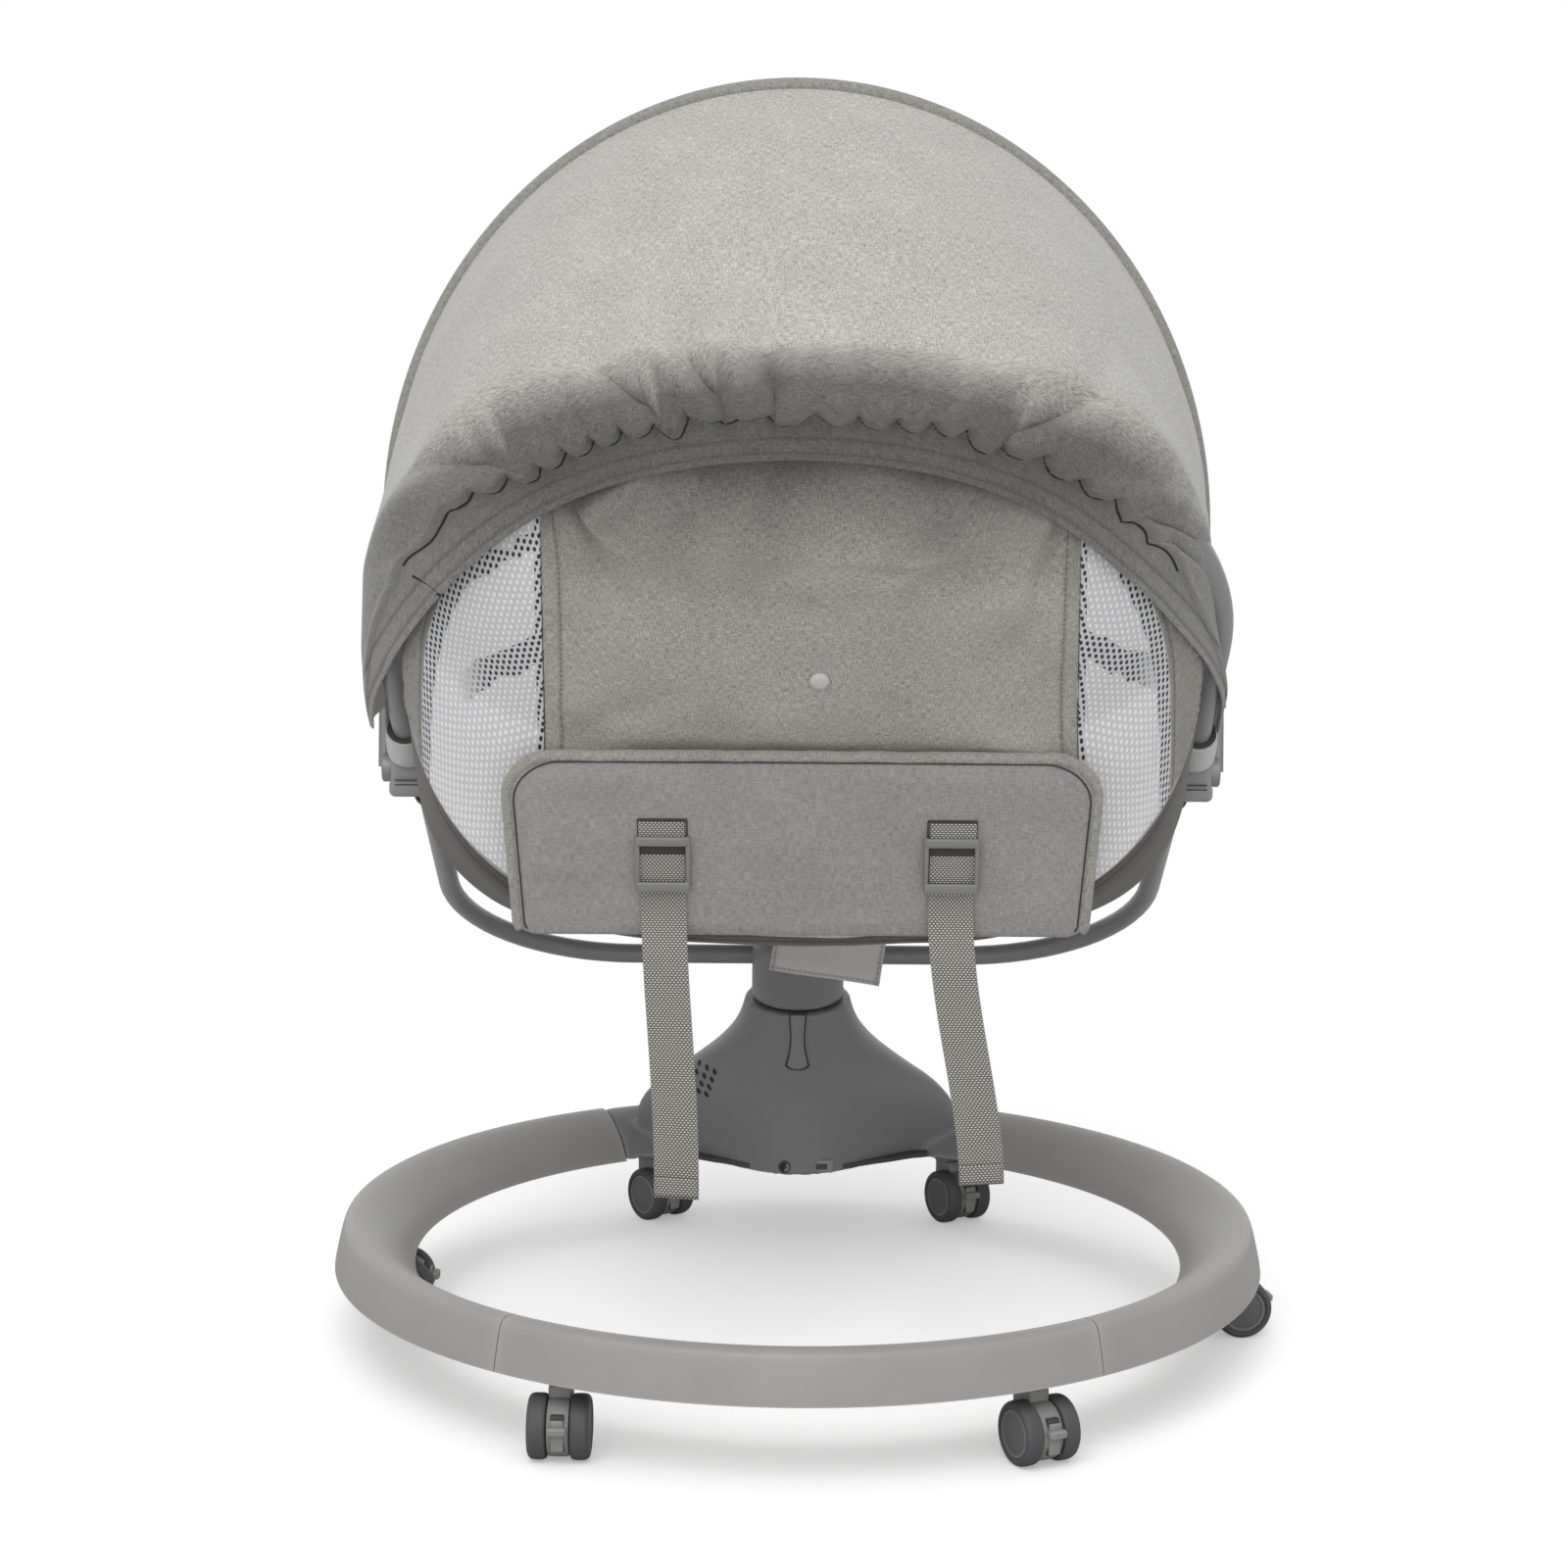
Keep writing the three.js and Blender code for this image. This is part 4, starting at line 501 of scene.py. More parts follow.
# Neck: a short thick plastic barrel on a dark rubber seal, leaning back, that swings on the tower.
# The yoke tube runs through it from side to side.
neck_place = Matrix.Translation(neck_foot) @ Matrix.Rotation(neck_lean, 4, "X")
neck_line = curved_pairs([(0.0288, 0.0022), (0.03, 0.004), (0.03, 0.02), (0.0298, 0.034), (0.0286, 0.0395),
                          (0.025, 0.0435), (0.015, 0.0462), (0, 0.047)], 4)
made_piece("neck_barrel", turned([(0, 0.0022)] + neck_line, neck_place, 64), tower_plastic, "seat",
           ["neck"])
seal_line = curved_pairs([(0.019, 0.0003), (0.0283, 0.0003), (0.0287, 0.0011), (0.0283, 0.0019),
                          (0.019, 0.0019)], 3)
made_piece("neck_gasket", turned(seal_line, neck_place, 64), black_plastic, "seat",
           ["neck_seal"])


# Tube frame: a painted steel yoke from side box to side box through the neck, and two rim loops that the
# seat is slung from. Each is one bent tube, sprayed a satin grey.
def swept(points, radius, sides=20):
    """A round tube along a line of points, started square to a direction that no tube here takes."""
    line = np.array([tuple(p) for p in points])
    ways = np.gradient(line, axis=0)
    ways /= np.linalg.norm(ways, axis=1)[:, None]
    side = np.cross(ways[0], (0.31, 0.83, 0.47))
    skin = np.zeros((sides + 1, len(line), 3))
    turns = np.linspace(0, 2 * pi, sides + 1)
    for k, (point, way) in enumerate(zip(line, ways)):
        side = side - way * np.dot(side, way)
        side /= np.linalg.norm(side)
        over = np.cross(way, side)
        skin[:, k] = point + radius * (np.cos(turns)[:, None] * side + np.sin(turns)[:, None] * over)
    skin[-1] = skin[0]
    return grid_form(skin, closed=True)


def loop_line(half, start, straight, length, steps=60):
    """A racetrack's half in a plane: up one side, round a half ellipse and down, as (across, reach)."""
    leg = [(half, start + (straight - start) * i / 8) for i in range(8)]
    bend = [(half * cos(pi * i / steps), straight + (length - straight) * sin(pi * i / steps))
            for i in range(steps + 1)]
    return leg + bend + [(-x, y) for x, y in leg][::-1]


box_height, rim_half, rim_radius, rim_start = 0.336, 0.228, 0.0075, 0.01
head_angle, head_straight, head_long = radians(39.2), 0.13, 0.355
foot_angle, foot_straight, foot_long = radians(6), 0.18, 0.342


def head_point(x, reach):
    return np.array((x, -reach * cos(head_angle) + ring_middle.y, box_height + reach * sin(head_angle)))


def foot_point(x, reach):
    return np.array((x, reach * cos(foot_angle) + ring_middle.y, box_height + reach * sin(foot_angle)))


tube_paint = finished("tube_paint", (138, 138, 140), 0.33, 1800.0, bump=0.08, coat=0.15)
for label, rim_point, straight, length in (("head", head_point, head_straight, head_long),
                                           ("foot", foot_point, foot_straight, foot_long)):
    rim_line = [rim_point(*pair) for pair in loop_line(rim_half, rim_start, straight, length)]
    made_piece(label + "_loop", swept(rim_line, rim_radius), tube_paint, "seat",
               [f"rim_{label}_tube"])
yoke_half, yoke_corner, yoke_top, yoke_low, yoke_radius = 0.219, 0.112, 0.322, 0.1845, 0.0063
yoke_way = Vector((0, neck_y, yoke_low - yoke_top))
yoke_long = yoke_way.length
yoke_way.normalize()
half_yoke = [(yoke_half, (yoke_long - yoke_corner) * i / 8) for i in range(8)]
half_yoke += [(yoke_half - yoke_corner + yoke_corner * cos(t), yoke_long - yoke_corner + yoke_corner * sin(t))
              for t in (radians(90) * i / 16 for i in range(17))]
yoke_flat = half_yoke + [(-x, down) for x, down in half_yoke][::-1]
yoke_line = [Vector((x, 0, yoke_top)) + yoke_way * down + ring_middle for x, down in yoke_flat]
made_piece("yoke", swept(yoke_line, yoke_radius), tube_paint, "seat", ["yoke_tube"])


# Side boxes: moulded joints, one at each side, that hold the yoke's end, both rim loops and the canopy's
# pivot. Each has a lip with a slot line, a darker inner plate with a screw, a pale collar, and dark rings.
box_plastic = finished("box_plastic", (148, 148, 150), 0.42)
collar_plastic = finished("collar_plastic", (206, 206, 206), 0.38)
inner_plastic = finished("inner_plastic", (92, 92, 94), 0.5)
box_x, box_wide, box_deep, box_tall, lip_proud, lip_tall = 0.2255, 0.027, 0.038, 0.031, 0.0016, 0.0105
collar_start, collar_end = 0.018, 0.05
screw_line = [(0, 0), (0.0022, 0), (0.0022, 0.0012), (0.0017, 0.0015), (0.0012, 0.0008), (0, 0.0008)]
collar_line = [(0.0079, 0.002), (0.0125, 0.002), (0.0127, 0.004), (0.0122, 0.016), (0.0114, 0.0238),
               (0.0108, 0.0243), (0.0079, 0.0243)]
collar_ring = [(0.0078, 0.0244), (0.0104, 0.0244), (0.0106, 0.0252), (0.0104, 0.026), (0.0078, 0.026)]
foot_cuff = [(0.0078, 0), (0.0102, 0), (0.0106, 0.001), (0.0102, 0.0022), (0.0078, 0.0022)]
yoke_cuff = [(0.0066, 0.001), (0.0084, 0.001), (0.0086, 0.004), (0.0074, 0.0052), (0.0074, 0.0062),
             (0.0066, 0.0064)]
for side, label in ((-1, "left"), (1, "right")):
    middle = Vector((side * box_x, ring_middle.y, box_height))
    shell = rounded_block((box_wide, box_deep, box_tall), middle, 0.0045, 5)
    lip = rounded_block((box_wide + lip_proud, box_deep + lip_proud, lip_tall),
                        middle + Vector((0, 0, -box_tall / 2 + 0.0053)), 0.0035, 4)
    made_piece("joint_box_" + label, joined([shell, lip]), box_plastic, "seat",
               ["side_box_" + label])
    slots = [rounded_block((0.019, 0.0006, 0.0008),
                           middle + Vector((side * 0.001, -box_deep / 2 - 0.0008, drop)),
                           0.0002, 2) for drop in (-0.0052, -0.0078)]
    made_piece("slot_lines_" + label, joined(slots), black_plastic, "seat")
    plate = rounded_block((0.007, 0.0345, 0.0285),
                          middle + Vector((-side * (box_wide / 2 + 0.0026), 0, 0.0004)), 0.0012, 3)
    made_piece("inner_plate_" + label, plate, inner_plastic, "seat")
    screw_spot = middle + Vector((-side * (box_wide / 2 + 0.0025), -0.0166, 0.004))
    made_piece("screw_" + label, turned(screw_line, facing(screw_spot, Vector((0, -1, 0))), 20),
               black_plastic, "seat")
    head_from, head_to, foot_from, foot_to = (
        Vector(rim_point(side * rim_half, reach))
        for rim_point in (head_point, foot_point) for reach in (collar_start, collar_end))
    on_head, on_foot = facing(head_from, head_to - head_from), facing(foot_from, foot_to - foot_from)
    on_yoke = facing(Vector((side * yoke_half, 0, yoke_top)) + ring_middle, yoke_way)
    made_piece("pale_collar_" + label, turned(collar_line, on_head, 36), collar_plastic, "seat",
               ["collar_" + label])
    for name, cuff, cuff_place in (("collar_ring_", collar_ring, on_head), ("foot_cuff_", foot_cuff, on_foot),
                                   ("yoke_cuff_", yoke_cuff, on_yoke)):
        made_piece(name + label, turned(cuff, cuff_place, 36), black_plastic, "seat")


# Castors: six swivelling twin wheels with dark rounded tyres and paler disc caps, on a light drum body that
# turns on a stem in the ring. A T-shaped brake pedal hangs on the back of each drum.
castor_plastic = finished("castor_plastic", (132, 133, 129), 0.45, 1200.0)
tyre_rubber = finished("tyre_rubber", (78, 78, 80), 0.6, 700.0, 0.1, bump=0.3)
cap_plastic = finished("cap_plastic", (104, 104, 105), 0.45, 1200.0)
castors = {"rear_right": (-61, -64), "right": (-3, 8), "front_right": (66, -60), "front_left": (113, -52),
           "left": (175, 2), "rear_left": (-120, -92)}
castor_circle, axle_high, trail, drum, drum_half, drum_ease = 0.2515, 0.01716, 0.012, 0.0157, 0.006, 0.002
wheel_radius, wheel_in, wheel_wide, pedal_bar_rise = 0.0174, 0.0065, 0.0099, 0.0035
along_x = Matrix.Rotation(radians(90), 4, "Y")
drum_line = curved_pairs([(0.0025, -drum_half), (drum - drum_ease, -drum_half), (drum - 0.0004, -0.0052),
                          (drum, -0.003), (drum, 0.003), (drum - 0.0004, 0.0052),
                          (drum - drum_ease, drum_half), (0.0025, drum_half)], 2)
stem_line = [(0, 0.0385), (0.0084, 0.0385), (0.009, 0.0392), (0.009, 0.0418), (0.0084, 0.0425),
             (0.0042, 0.0425), (0.0038, 0.0575), (0, 0.058)]
axle_line = [(0, -0.008), (0.0023, -0.008), (0.0023, 0.008), (0, 0.008)]
bush_line = [(0.0045, 0.0442), (0.0078, 0.0442), (0.0081, 0.046), (0.0079, 0.0575), (0.0045, 0.0575)]
bushes = []
for label, (angle, way) in castors.items():
    castor_foot = Matrix.Translation(Vector((castor_circle * cos(radians(angle)),
                                             castor_circle * sin(radians(angle)), 0)) + ring_middle)
    castor_place = castor_foot @ Matrix.Rotation(radians(way + 90), 4, "Z")
    hub = castor_place @ Matrix.Translation((0, -trail, axle_high)) @ along_x
    body = [turned(drum_line, hub, 48),
            joined([rounded_block((0.0122, 0.0185, 0.0225), (0, -0.0028, 0.0282), 0.0016, 3)], castor_place),
            turned(stem_line, castor_place, 36)]
    made_piece("castor_drum_" + label, joined(body), castor_plastic, "castor_" + label,
               ["castor_body_" + label])
    slots = [rounded_block((0.0074, 0.004, 0.0064), (0, -trail - drum * cos(tilt) + 0.0012,
                                                     axle_high + drum * sin(tilt)), 0.0006, 2)
             for tilt in (radians(28), radians(-22))]
    made_piece("drum_slots_" + label, joined(slots, castor_place), black_plastic, "castor_" + label)
    tyres, caps = [], []
    for side in (-1, 1):
        inner, outer = side * wheel_in, side * (wheel_in + wheel_wide)
        tyre = [(0.0127, inner), (0.0160, inner), (0.0170, inner + side * 0.0008),
                (wheel_radius, inner + side * 0.0026), (wheel_radius, inner + side * 0.0066),
                (0.0168, inner + side * 0.0086), (0.0155, outer - side * 0.0002), (0.0143, outer),
                (0.0137, outer - side * 0.0006), (0.0127, outer - side * 0.0012)]
        tyres.append(turned(curved_pairs(tyre, 3), hub, 48))
        disc = [(0, inner + side * 0.0006), (0.0127, inner + side * 0.0006), (0.0131, outer - side * 0.0014),
                (0.0124, outer - side * 0.0006), (0.0112, outer - side * 0.0007),
                (0.0108, outer - side * 0.0012), (0.006, outer - side * 0.0006), (0, outer - side * 0.0002)]
        caps.append(turned(disc, hub, 40))
    made_piece("tyres_" + label, joined(tyres), tyre_rubber, "wheels_" + label,
               ["castor_wheels_" + label])
    made_piece("wheel_caps_" + label, joined(caps), cap_plastic, "wheels_" + label)
    made_piece("axle_" + label, turned(axle_line, hub, 20), steel, "wheels_" + label)
    back, bar_high = -trail - drum, axle_high + pedal_bar_rise
    pedal = [rounded_block((0.0068, 0.0019, 0.017), (0, back, axle_high), 0.0007, 3),
             rounded_block((0.0104, 0.0044, 0.0044), (0, back - 0.0028, bar_high), 0.0012, 3)]
    pedal += [rounded_block((0.0094, 0.0005, 0.0005), (0, back - 0.0051, bar_high + rise), 0.0002, 1)
              for rise in (-0.0011, 0, 0.0011)]
    made_piece("pedal_" + label, joined(pedal, castor_place), castor_plastic, "pedal_" + label,
               ["brake_pedal_" + label])
    bushes.append(turned(bush_line, castor_foot, 28))
made_piece("castor_sockets", joined(bushes), ring_plastic, "base")


# Seat back: a linen flap sewn to the head of the basket, between two panels of white spacer net. All the
# sewn panels share one basket form, hung between the rim loops and cut along its seams.
def spaced(points):
    """A line of points with the distance along it at each."""
    line = np.array([tuple(p) for p in points])
    return line, np.concatenate([[0], np.cumsum(np.linalg.norm(np.diff(line, axis=0), axis=1))])


def on_line(line, shares):
    """Points at shares of a line's length."""
    points, reach = line
    return np.stack([np.interp(np.asarray(shares) * reach[-1], reach, points[:, i])
                     for i in range(points.shape[1])], axis=-1)


def eased(share):
    """A rise from 0 to 1 that starts and ends softly."""
    held = np.clip(share, 0, 1)
    return held * held * (3 - 2 * held)


def bump_at(x, middle, half):
    """A rounded rise, 1 at its middle and gone past about twice its half width."""
    return np.exp(-((x - middle) / half) ** 2)


seat_floor, sling_inset, rim_lean = 0.242, 0.0084, radians(86)
head_reach, foot_reach = head_long * cos(head_angle), foot_long * cos(foot_angle)
head_rise = head_long * sin(head_angle) + box_height - seat_floor
foot_rise = foot_long * sin(foot_angle) + box_height - seat_floor
head_shares = [(0.966, 0.966), (0.93, 0.87), (0.885, 0.775), (0.735, 0.61), (0.545, 0.42), (0.513, 0.385),
               (0.497, 0.355), (0.412, 0.14), (0.365, 0.04), (0.255, 0.02), (0, 0)]
foot_shares = [(0.235, 0.016), (0.47, 0.16), (0.706, 0.42), (0.88, 0.74), (0.94, 0.88)]
floor_points = [(-head_reach * a, seat_floor + head_rise * b) for a, b in head_shares]
floor_points += [(foot_reach * a, seat_floor + foot_rise * b) for a, b in foot_shares]
floor_line = spaced(curved_pairs(floor_points, 24))
recess_deep, recess_ease, head_recess, foot_recess = 0.02, 0.025, 0.055, 0.15


def floor_share(y):
    """How far along the floor line the basket is at a distance behind or in front of the ring's middle."""
    return float(np.interp(y, floor_line[0][:, 0], floor_line[1])) / floor_line[1][-1]


def basket_section(share):
    """The basket's half width, rim height and roundness at shares along its floor line."""
    floor = on_line(floor_line, share)
    y = floor[..., 0]
    head = y < 0
    reach = np.abs(y) / np.where(head, cos(head_angle), cos(foot_angle))
    straight, length = np.where(head, head_straight, foot_straight), np.where(head, head_long, foot_long)
    past = np.clip((reach - straight) / (length - sling_inset - straight), 0, 0.985)
    half = (rim_half - sling_inset) * np.sqrt(1 - past ** 2)
    recess_reach = np.where(head, head_recess, foot_recess)
    half -= recess_deep * eased((recess_reach - np.abs(y)) / (recess_reach - recess_ease))
    high = box_height + reach * np.where(head, sin(head_angle), sin(foot_angle))
    forward = eased(y / head_reach * 1.6 + 0.9)
    return floor, half, high, 3 + 1.2 * forward, 1.7 + 2.5 * forward


def basket(lean, share):
    """Points of the basket: lean is -90 degrees at the left rim, 0 on the floor and 90 at the right rim."""
    floor, half, high, across_power, drop_power = basket_section(share)
    across = np.sign(lean) * np.abs(np.sin(lean)) ** (2 / across_power)
    drop = np.maximum(high - floor[..., 1], 0) * np.maximum(np.cos(lean), 0) ** (2 / drop_power)
    return np.stack([half * across, floor[..., 0] + ring_middle.y, high - drop], axis=-1)


def lean_at(distance, share, limit=rim_lean):
    """The lean at which the basket is a given distance from its middle."""
    _, half, _, across_power, _ = basket_section(share)
    return np.minimum(np.arcsin(np.minimum(distance / half, 1) ** (across_power / 2)), limit)


def panel(first, last, low_lean, high_lean, across, along):
    """A table of points for one panel of the basket, from one share of its length to another."""
    u, v = np.meshgrid(np.linspace(0, 1, across + 1), np.linspace(0, 1, along + 1), indexing="ij")
    share = first + (last - first) * v
    low, high = low_lean(share), high_lean(share)
    return basket(low + (high - low) * u, share), u, v


def skin_way(points):
    """The direction square to a table of points, at each of them."""
    way = np.cross(np.gradient(points, axis=0), np.gradient(points, axis=1))
    return way / np.maximum(np.linalg.norm(way, axis=2), 1e-12)[..., None]


def swirl(points, size, seed=0.0):
    """Soft noise, about -1 to 1, over a table of points, with swells of the given size in metres."""
    start = Vector((seed, seed * 1.7, seed * 0.3))
    found = [noise.noise(Vector(p) + start) for p in points.reshape(-1, 3) / size]
    return np.array(found).reshape(points.shape[:2]) * 1.6


def parts_of(whole, kind="SeparateXYZ"):
    return [Reading(part) for part in node(whole.socket.id_data, kind, {0: whole}).outputs]


woven, given, out = new_group("woven_cloth", [
    ("Dark Thread", "Color", paint(120, 118, 112)), ("Light Thread", "Color", paint(180, 178, 172)),
    ("Pitch", "Float", 0.0009), ("Slub", "Float", 0.5), ("Thread Place", "Vector", None)])
cloth_place = given["Thread Place"]
warp, weft = [(thread / given["Pitch"] * pi).step("SINE") for thread in parts_of(cloth_place)[:2]]
over = warp * weft
slubs_along, slubs_across = [mottle(read(woven, "Mapping", 0, {"Vector": cloth_place, "Scale": stretch}), 1.0)
                             for stretch in ((1500, 260, 1), (260, 1500, 1))]
slub = slubs_across * 0.5 + slubs_along * 0.5
light = (slub - 0.5) * (given["Slub"] * 5.0) + 0.5 + (mottle(cloth_place, 30.0, 3.0) - 0.5) * 0.25
light = read(woven, "Clamp", 0, {0: over * 0.14 + light})
feed(out["Colour"], mixed(light, given["Dark Thread"], given["Light Thread"]))
feed(out["Roughness"], ramp(slub, 0.3, 0.7, 0.95, 0.8))
feed(out["Height"], over * 0.3 + slub)

stitch_long = 0.0032
seams, given, out = new_group("seam_marks", [
    ("From Edge", "Float", 0.01), ("Stitch Line", "Float", 0.01), ("Run", "Float", 0.0)],
    [("Thread", "Float"), ("Dip", "Float")])
offset = (given["From Edge"] - given["Stitch Line"]).step("ABSOLUTE")
dash = ramp((given["Run"] * (2 * pi / stitch_long)).step("SINE"), -0.5, 0.1)
feed(out["Thread"], ramp(offset, 0.00025, 0.0007, 1.0, 0.0) * dash)
feed(out["Dip"], ramp(offset, 0.0003, 0.0022, 1.0, 0.0))


def edge_distances(tree):
    """How far a place on a sheet is, in metres, from the left, right, first and last edges."""
    edges = node(tree, "Attribute", attribute_name="edges").outputs
    return [*parts_of(Reading(edges["Color"]), "SeparateColor"), Reading(edges["Alpha"])]


def cloth(name, dark, light, pitch=0.0009, slub=0.5, sheen=0.25, bump=0.35, stitches=(), own_uv=True,
          darker=(), darker_above=()):
    """A woven cloth, its two threads' colours as seen on a screen. stitches are (edge, distance): a stitched
    row that far, in metres, from the left, right, first or last edge of the sheet, numbered 0 to 3.
    The shade from an edge is (edge, near, far, strength, run): painted shade, darker up to near and as before
    from
    far, which builds up over that run from the left and right edges. The shade above is (low, high, strength):
    painted shade that darkens the cloth from one height to another. Without its own threads it is woven in the
    object's space."""
    material, tree, shader = new_material(name)
    thread_place = read(tree, "TexCoord", "UV" if own_uv else "Object")
    if not own_uv:
        x, y, z = parts_of(thread_place)
        thread_place = read(tree, "CombineXYZ", 0, {0: x, 1: y * 0.7 + z})
    dark = paint(*dark)
    skin = place_group(tree, woven, {"Dark Thread": dark, "Light Thread": paint(*light), "Pitch": pitch,
                                     "Slub": slub, "Thread Place": thread_place})
    colour, height = skin["Colour"], skin["Height"]
    shadow, seam_shadow = ([c * share for c in dark[:3]] + [1] for share in (0.16, 0.4))
    from_edges = edge_distances(tree) if stitches or darker else []
    # Painted shade: the cloth is darkened towards one of its edges.
    if darker:
        edge, near, far, strength, run = darker
        ends = ramp(from_edges[0].step("MINIMUM", from_edges[1]), 0.0, run)
        colour = mixed(ends * ramp(from_edges[edge], near, far, strength, 0.0), colour, shadow)
    # Painted shade: the cloth is darkened upwards, from one height to another.
    if darker_above:
        low, high, strength = darker_above
        spot = read(tree, "TexCoord", "Object")
        raised = mottle(spot, 22.0) * 0.05 + parts_of(spot)[2]
        colour = mixed(ramp(raised, low + 0.025, high + 0.025, 0.0, strength), colour, shadow)
    for edge, row in stitches:
        marks = place_group(tree, seams, {"Stitch Line": row, "From Edge": from_edges[edge],
                                          "Run": parts_of(thread_place)[0 if edge > 1 else 1]})
        colour = mixed(marks["Thread"] * 0.4 + marks["Dip"] * 0.3, colour, seam_shadow)
        height = marks["Dip"] * -2.5 + height
    dress(shader, colour, skin["Roughness"], height, bump, 0.0006)
    feed(shader["Sheen Weight"], sheen)
    feed(shader["Sheen Roughness"], 0.6)
    feed(shader["Specular IOR Level"], 0.2)
    return material


def sewn(name, points, thickness, material, body, stands_for):
    """A cloth panel through a table of points, with its real thickness, its threads laid out at its own flat
    size.
    """
    piece = made_piece(name, grid_form(points, threads=True), material, None, stands_for, sharp=180)
    wall = piece.modifiers.new("thickness", "SOLIDIFY")
    wall.thickness, wall.offset = thickness, 0
    made_solid(piece)
    piece.data.shade_smooth()
    piece.data.set_sharp_from_angle(angle=radians(60))
    if body:
        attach(piece, body)
    return piece


linen_thick, flap_foot = 0.0016, floor_share(-0.1043)


def flap_lean(share, side=-1):
    """The flap's edge: it widens towards the foot, more so on the right."""
    top, more = (0.131, 0.012) if side < 0 else (0.134, 0.021)
    return lean_at(top + more * share / flap_foot, share)


sag_rise, ripple_rise, pucker_rise, gather_rise, hem_rise = 0.0032, 0.0009, 0.0011, 0.0005, 0.0007
gather_count, drag_half = 46, 0.035
flap_points, u, v = panel(0.0, flap_foot, lambda s: -flap_lean(s), lambda s: flap_lean(s, 1), 110, 130)
way = skin_way(flap_points)
edge_near = np.minimum(u, 1 - u)
loose = eased(edge_near / 0.06)
pucker = bump_at(u, 0.03, 0.07) * bump_at(v, 0.86, 0.07) * np.sin((u * 1.4 + v) * 95) * pucker_rise
sag = swirl(flap_points, 0.075, 3.1) * sag_rise + swirl(flap_points, 0.03, 8.2) * ripple_rise
gathers = np.sin(u * 2 * pi * gather_count + 2 * np.sin(u * 31)) * gather_rise * bump_at(v, 0.012, 0.02)
hem_raise = hem_rise * (1 - eased((edge_near - 0.035) / 0.012))
drag_lines = ((0.03, 0.04, 0.30, 0.44, 0.0056), (0.18, -0.02, 0.28, 0.60, -0.0046),
              (0.97, 0.06, 0.80, 0.56, 0.0052),
              (0.62, -0.05, 0.52, 0.50, -0.0036), (0.02, 0.70, 0.36, 0.52, 0.0038),
              (0.98, 0.76, 0.70, 0.62, -0.0034))
drags = np.zeros_like(u)
for u_from, v_from, u_to, v_to, lift in drag_lines:
    run = np.array((u_to - u_from, v_to - v_from))
    part = np.clip(((u - u_from) * run[0] + (v - v_from) * run[1]) / (run @ run), 0, 1)
    apart = np.hypot(u - u_from - part * run[0], v - v_from - part * run[1])
    drags += lift * bump_at(apart, 0, drag_half) * np.sin(pi * np.clip(part, 0.08, 1)) * loose
flap_points = flap_points + way * (loose * sag + drags + pucker + gathers + hem_raise)[..., None]
# Painted shade darkens the flap's top, standing in for the shadow under the canopy's hem.
flap_linen = cloth("flap_linen", (120, 118, 112), (214, 212, 204),
                   stitches=((0, 0.0095), (1, 0.0095), (2, 0.009)), darker_above=(0.452, 0.528, 0.72))
flap = sewn("linen_flap", flap_points, linen_thick, flap_linen, "seat", ["back_flap"])
flap_skin = BVHTree.FromObject(flap, bpy.context.evaluated_depsgraph_get())
snap_x, snap_z = 0.0085, 0.4095
snap_line = [(0, 0), (0.0050, 0), (0.0053, 0.0008), (0.0051, 0.0018), (0.0044, 0.0025), (0.003, 0.0029),
             (0, 0.0031)]
snap_plastic = finished("snap_plastic", (206, 205, 202), 0.35, 900.0)
made_piece("snap_button", turned(snap_line, facing(*outwards(flap_skin, snap_x, snap_z)), 32), snap_plastic,
           "seat")


# Side nets: white spacer net, a face of oval holes over a white backing, bordered by two rows of open holes.
# Behind two bands across the net and along its borders the backing stops; the open holes there are filled with
# painted shade.
def spacer_net(name, outer_edge, band):
    """Oval holes on a staggered pitch, filled with painted shade along the borders and across two bands, white
    elsewhere.
    """
    material, tree, shader = new_material(name)
    thread_place = read(tree, "TexCoord", "UV")
    thread_x, thread_y, _ = parts_of(thread_place)
    from_edges = edge_distances(tree)
    from_outer, from_inner = from_edges[outer_edge], from_edges[1 - outer_edge]
    across = thread_x / 0.0033 + 200.0
    along = thread_y / 0.0048 + across.step("FLOOR").step("MODULO", 2.0) * 0.5
    across_in, along_in = across.step("FRACT") - 0.5, along.step("FRACT") - 0.5
    radius = (across_in * across_in + along_in * along_in * 0.8).step("SQRT")
    hole = ramp(radius, 0.25, 0.33, 1.0, 0.0)
    sloped = from_inner * -1.2 + (mottle(thread_place, 40.0) * 0.02 + thread_y)
    dark = ramp(from_outer, 0.0095, 0.0105, 1.0, 0.0)
    dark = dark.step("MAXIMUM", ramp(from_inner, 0.0032, 0.0036, 1.0, 0.0))
    for middle, half, reach in ((band - 0.062, 0.004, 0.09), (band + 0.01, 0.0105, 0.034)):
        from_band = (sloped - middle).step("ABSOLUTE")
        near = ramp(from_inner, reach, reach + 0.02, 1.0, 0.0)
        dark = dark.step("MAXIMUM", near * ramp(from_band, half, half + 0.001, 1.0, 0.0))
    # The dark colour in the open holes is painted shade.
    hole_white_or_shade = mixed(dark, paint(252, 252, 253), paint(52, 52, 54))
    strand = mixed(mottle(thread_place, 2400.0), paint(188, 188, 190), paint(243, 243, 245))
    surface = (hole * (dark * 0.7 + 0.3)) * -1.0 + 1.0
    dress(shader, mixed(hole, strand, hole_white_or_shade), ramp(hole, 0.0, 1.0, 0.7, 0.9), surface, 0.6, 0.0012)
    feed(shader["Sheen Weight"], 0.2)
    feed(shader["Specular IOR Level"], 0.25)
    return material


def net_lean(share, side):
    """The net's inner edge, beside the flap."""
    return np.minimum(flap_lean(share, side) + 0.004, rim_lean)


def wing_lean(share, side):
    """The wing's inner edge, between the net and the rim."""
    return net_lean(share, side) + (rim_lean - net_lean(share, side)) * (0.66 if side < 0 else 0.52)


